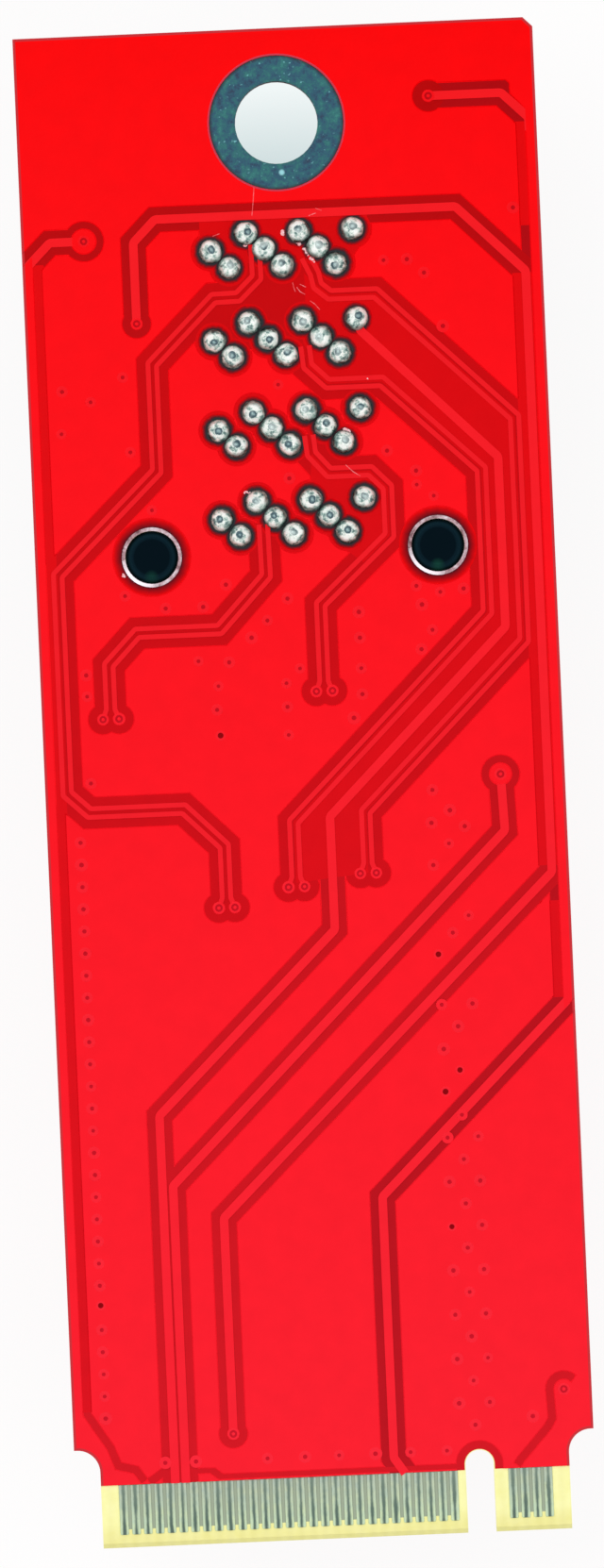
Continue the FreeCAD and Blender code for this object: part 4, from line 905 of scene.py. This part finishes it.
def fingerTemplate(name):
    width, length, thickness = fingerLook["width"], fingerLook["length"], fingerLook["thickness"]
    bm = bmesh.new()
    bmesh.ops.create_cube(bm, size=1)
    for vert in bm.verts:
        vert.co = Vector((vert.co.x * width, vert.co.y * length, (vert.co.z + 0.5) * thickness)) * mm
    whole = bm.verts[:] + bm.edges[:] + bm.faces[:]
    bmesh.ops.bisect_plane(bm, geom=whole, plane_co=(0, 0, 0), plane_no=(1, 0, 0))
    lowCorners = [e for e in bm.edges if abs(e.verts[0].co.z - e.verts[1].co.z) > 1e-6
                  and e.verts[0].co.y < 0 and abs(e.verts[0].co.x) > 1e-6]
    bevelEdges(bm, lowCorners, fingerLook["cornerRadius"], 3)
    topEdges = [e for e in bm.edges if all(v.co.z > thickness * mm * 0.9 for v in e.verts)
                and any(abs(v.co.x) > 1e-6 for v in e.verts)]
    bevelEdges(bm, topEdges, fingerLook["edgeRadius"], 2)
    mesh = meshFromBmesh(name, bm)
    storeValues(mesh, "across", "FLOAT", "POINT", [abs(vert.co.x) / (width * mm / 2) for vert in mesh.vertices])
    return mesh


def fingerRow(name, first, groups, level, seed):
    y = lacquerEdge - fingerLook["length"] / 2 - 0.005
    places = [(first + k * fingerLook["pitch"], y) for start, count in groups for k in range(start, start + count)]
    return scattered(name, fingerTemplate(name + "Finger"), places, level, fingerMetal, seed=seed)


upperFingers = fingerRow("solderSideFingers", -fingerLook["outer"], ((0, 29), (33, 4)), glassTop, 21)
lowerFingers = fingerRow("componentSideFingers", -fingerLook["outer"] - fingerLook["pitch"] / 2, ((0, 29), (33, 5)),
                         glassBottom - fingerLook["thickness"], 22)
print("fingers placed")


# the faces of some CAD nodes, with the flat ones joined
def joinedNodes(*nodeNames):
    bm = bmesh.new()
    for nodeName in nodeNames:
        bm.from_mesh(nodes[nodeName].data)
    bmesh.ops.remove_doubles(bm, verts=bm.verts, dist=1e-6)
    bmesh.ops.dissolve_limit(bm, angle_limit=math.radians(2), verts=bm.verts, edges=bm.edges)
    return bm


def roundEdges(obj, look):
    bevel = obj.modifiers.new("roundedEdges", "BEVEL")
    bevel.width = look["edgeRadius"] * mm
    bevel.segments = 2
    bevel.limit_method = "ANGLE"
    bevel.angle_limit = math.radians(look["edgeAngle"])


housingLook = {"edgeRadius": 0.05, "edgeAngle": 50, "pegLevel": lacquerLow.z + 0.05}
housingBm = joinedNodes("socket_housing")
for face in housingBm.faces:
    face.material_index = 1 if face.calc_center_median().z > housingLook["pegLevel"] * mm else 0
housing = newObject("socketHousing", meshFromBmesh("socketHousing", housingBm), blackPlastic, pegPlastic)
roundEdges(housing, housingLook)

# one piece of all the contacts, with their tails ending inside the solder
contactLook = {"edgeRadius": 0.025, "edgeAngle": 40, "tailLoss": 0.25}
contactNames = ["contact_%s%d" % (row, number) for row in "abcd" for number in range(1, 10)]
contactBm = joinedNodes(*contactNames)
tailTip = max(vert.co.z for vert in contactBm.verts)
for vert in contactBm.verts:
    if vert.co.z > tailTip - 0.01 * mm:
        vert.co.z -= contactLook["tailLoss"] * mm
contacts = newObject("socketContacts", meshFromBmesh("socketContacts", contactBm), contactMetal)
roundEdges(contacts, contactLook)


slotPieces = {
    "red_lacquer": [solderSheet, componentSheet, shownLines, shownPairs, lowerPairs, stitchVias, openVias, signalVias,
                    *widePads, landRims],
    "solder": [joints, fluxRings, pegShadeFilms, trails, hairs],
    "plated_copper": [upperFingers, lowerFingers],
    "black_plastic": [housing],
    "contact_metal": [contacts],
}
for slotName, pieces in slotPieces.items():
    for piece in pieces:
        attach(piece, "root")
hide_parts("lacquer_solder_side")
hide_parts("lacquer_component_side")
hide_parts(*["solder_joints_row_" + row for row in "abcd"])
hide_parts("fingers_solder_side")
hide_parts("fingers_component_side")
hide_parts("socket_housing")
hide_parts(*contactNames)
cadFinishes = {"laminate": glassEpoxy, "screw_land_solder_side": landMetal, "screw_land_component_side": landMetal,
               "peg_ring_left": leftRingMetal, "peg_ring_right": rightRingMetal}
for nodeName, material in cadFinishes.items():
    for slot in nodes[nodeName].material_slots:
        slot.material = material
print("finishes assigned")


studio = {"floorSize": 1.2, "floorGlow": 0.89, "worldLight": 0.55, "lampSize": 0.26, "cameraDistance": 0.45,
          "cameraTurn": -2.5, "viewCentre": (-0.13, -0.018), "viewHeight": 66.36}

floorMesh = bpy.data.meshes.new("floor")
side = studio["floorSize"] / 2
floorMesh.from_pydata([(-side, -side, 0), (side, -side, 0), (side, side, 0), (-side, side, 0)], [], [(0, 1, 2, 3)])
floorMaterial, tree = newMaterial("paleFloor", (0.97, 0.97, 0.97), 0.8, specular=0.1)
# the floor under the screw hole lies in the card's shade, which fades outwards
throughHole = addRamp(tree, alongCard(tree), (0.916, (0.64, 0.77, 0.78)), (0.975, (0.92, 0.99, 0.99)))
shade = addRange(tree, distanceFrom(tree, screwCentre), 4.4, 2.4)
glowColor = mixColors(tree, shade, (1.0, 1.0, 1.0), throughHole)
glow = addNode(tree, "ShaderNodeEmission", {"Strength": 1.0, "Color": glowColor})
cameraRay = addNode(tree, "ShaderNodeLightPath")["Is Camera Ray"]
share = addMath(tree, "MULTIPLY", cameraRay, studio["floorGlow"])
# the floor inside the socket's mouth stays dark
housingLow, housingHigh = corners("socket_housing")
housingSize = housingHigh - housingLow
underSocket = insideBox(tree, (housingLow + housingHigh) / 2, housingSize.x / 2, housingSize.y / 2)
lit = mixColors(tree, underSocket, share, (0.0, 0.0, 0.0))
matt = tree.nodes["Principled BSDF"]
surface = addNode(tree, "ShaderNodeMixShader", {0: lit, 1: matt.outputs[0], 2: glow[0]})
feed(tree, tree.nodes["Material Output"].inputs["Surface"], surface[0])
floor = newObject("floor", floorMesh, floorMaterial)

world = bpy.data.worlds.new("studio")
bpy.context.scene.world = world
world.use_nodes = True
worldTree = world.node_tree
worldRays = addNode(worldTree, "ShaderNodeLightPath")
seen = addMath(worldTree, "MAXIMUM", worldRays["Is Camera Ray"], worldRays["Is Glossy Ray"])
level = addNode(worldTree, "ShaderNodeMapRange", {"Value": seen, "To Min": studio["worldLight"], "To Max": 1.0})
backdrop = worldTree.nodes["Background"].inputs
feed(worldTree, backdrop["Color"], (1, 1, 1))
feed(worldTree, backdrop["Strength"], level["Result"])

lamps = {"softKey": ((-0.12, 0.13, 0.46), 0.78), "softFill": ((0.15, -0.12, 0.44), 0.42)}
for name, (at, power) in lamps.items():
    lamp = bpy.data.lights.new(name, "AREA")
    lamp.size = studio["lampSize"]
    lamp.energy = power
    lampObject = newObject(name, lamp)
    lampObject.location = at
    lampObject.rotation_euler = (Vector((0, 0, 0.012)) - Vector(at)).to_track_quat("-Z", "Y").to_euler()

camera = newObject("camera", bpy.data.cameras.new("camera"))
camera.location = place(*studio["viewCentre"], lacquerHigh.z) + Vector((0, 0, studio["cameraDistance"]))
camera.rotation_euler = (0, 0, math.radians(studio["cameraTurn"]))
camera.data.sensor_width = 36
camera.data.lens = 36 * studio["cameraDistance"] / (studio["viewHeight"] * mm)
camera.data.clip_start = 0.01
bpy.context.scene.camera = camera
bpy.context.scene.view_settings.view_transform = "Standard"
print("studio ready")
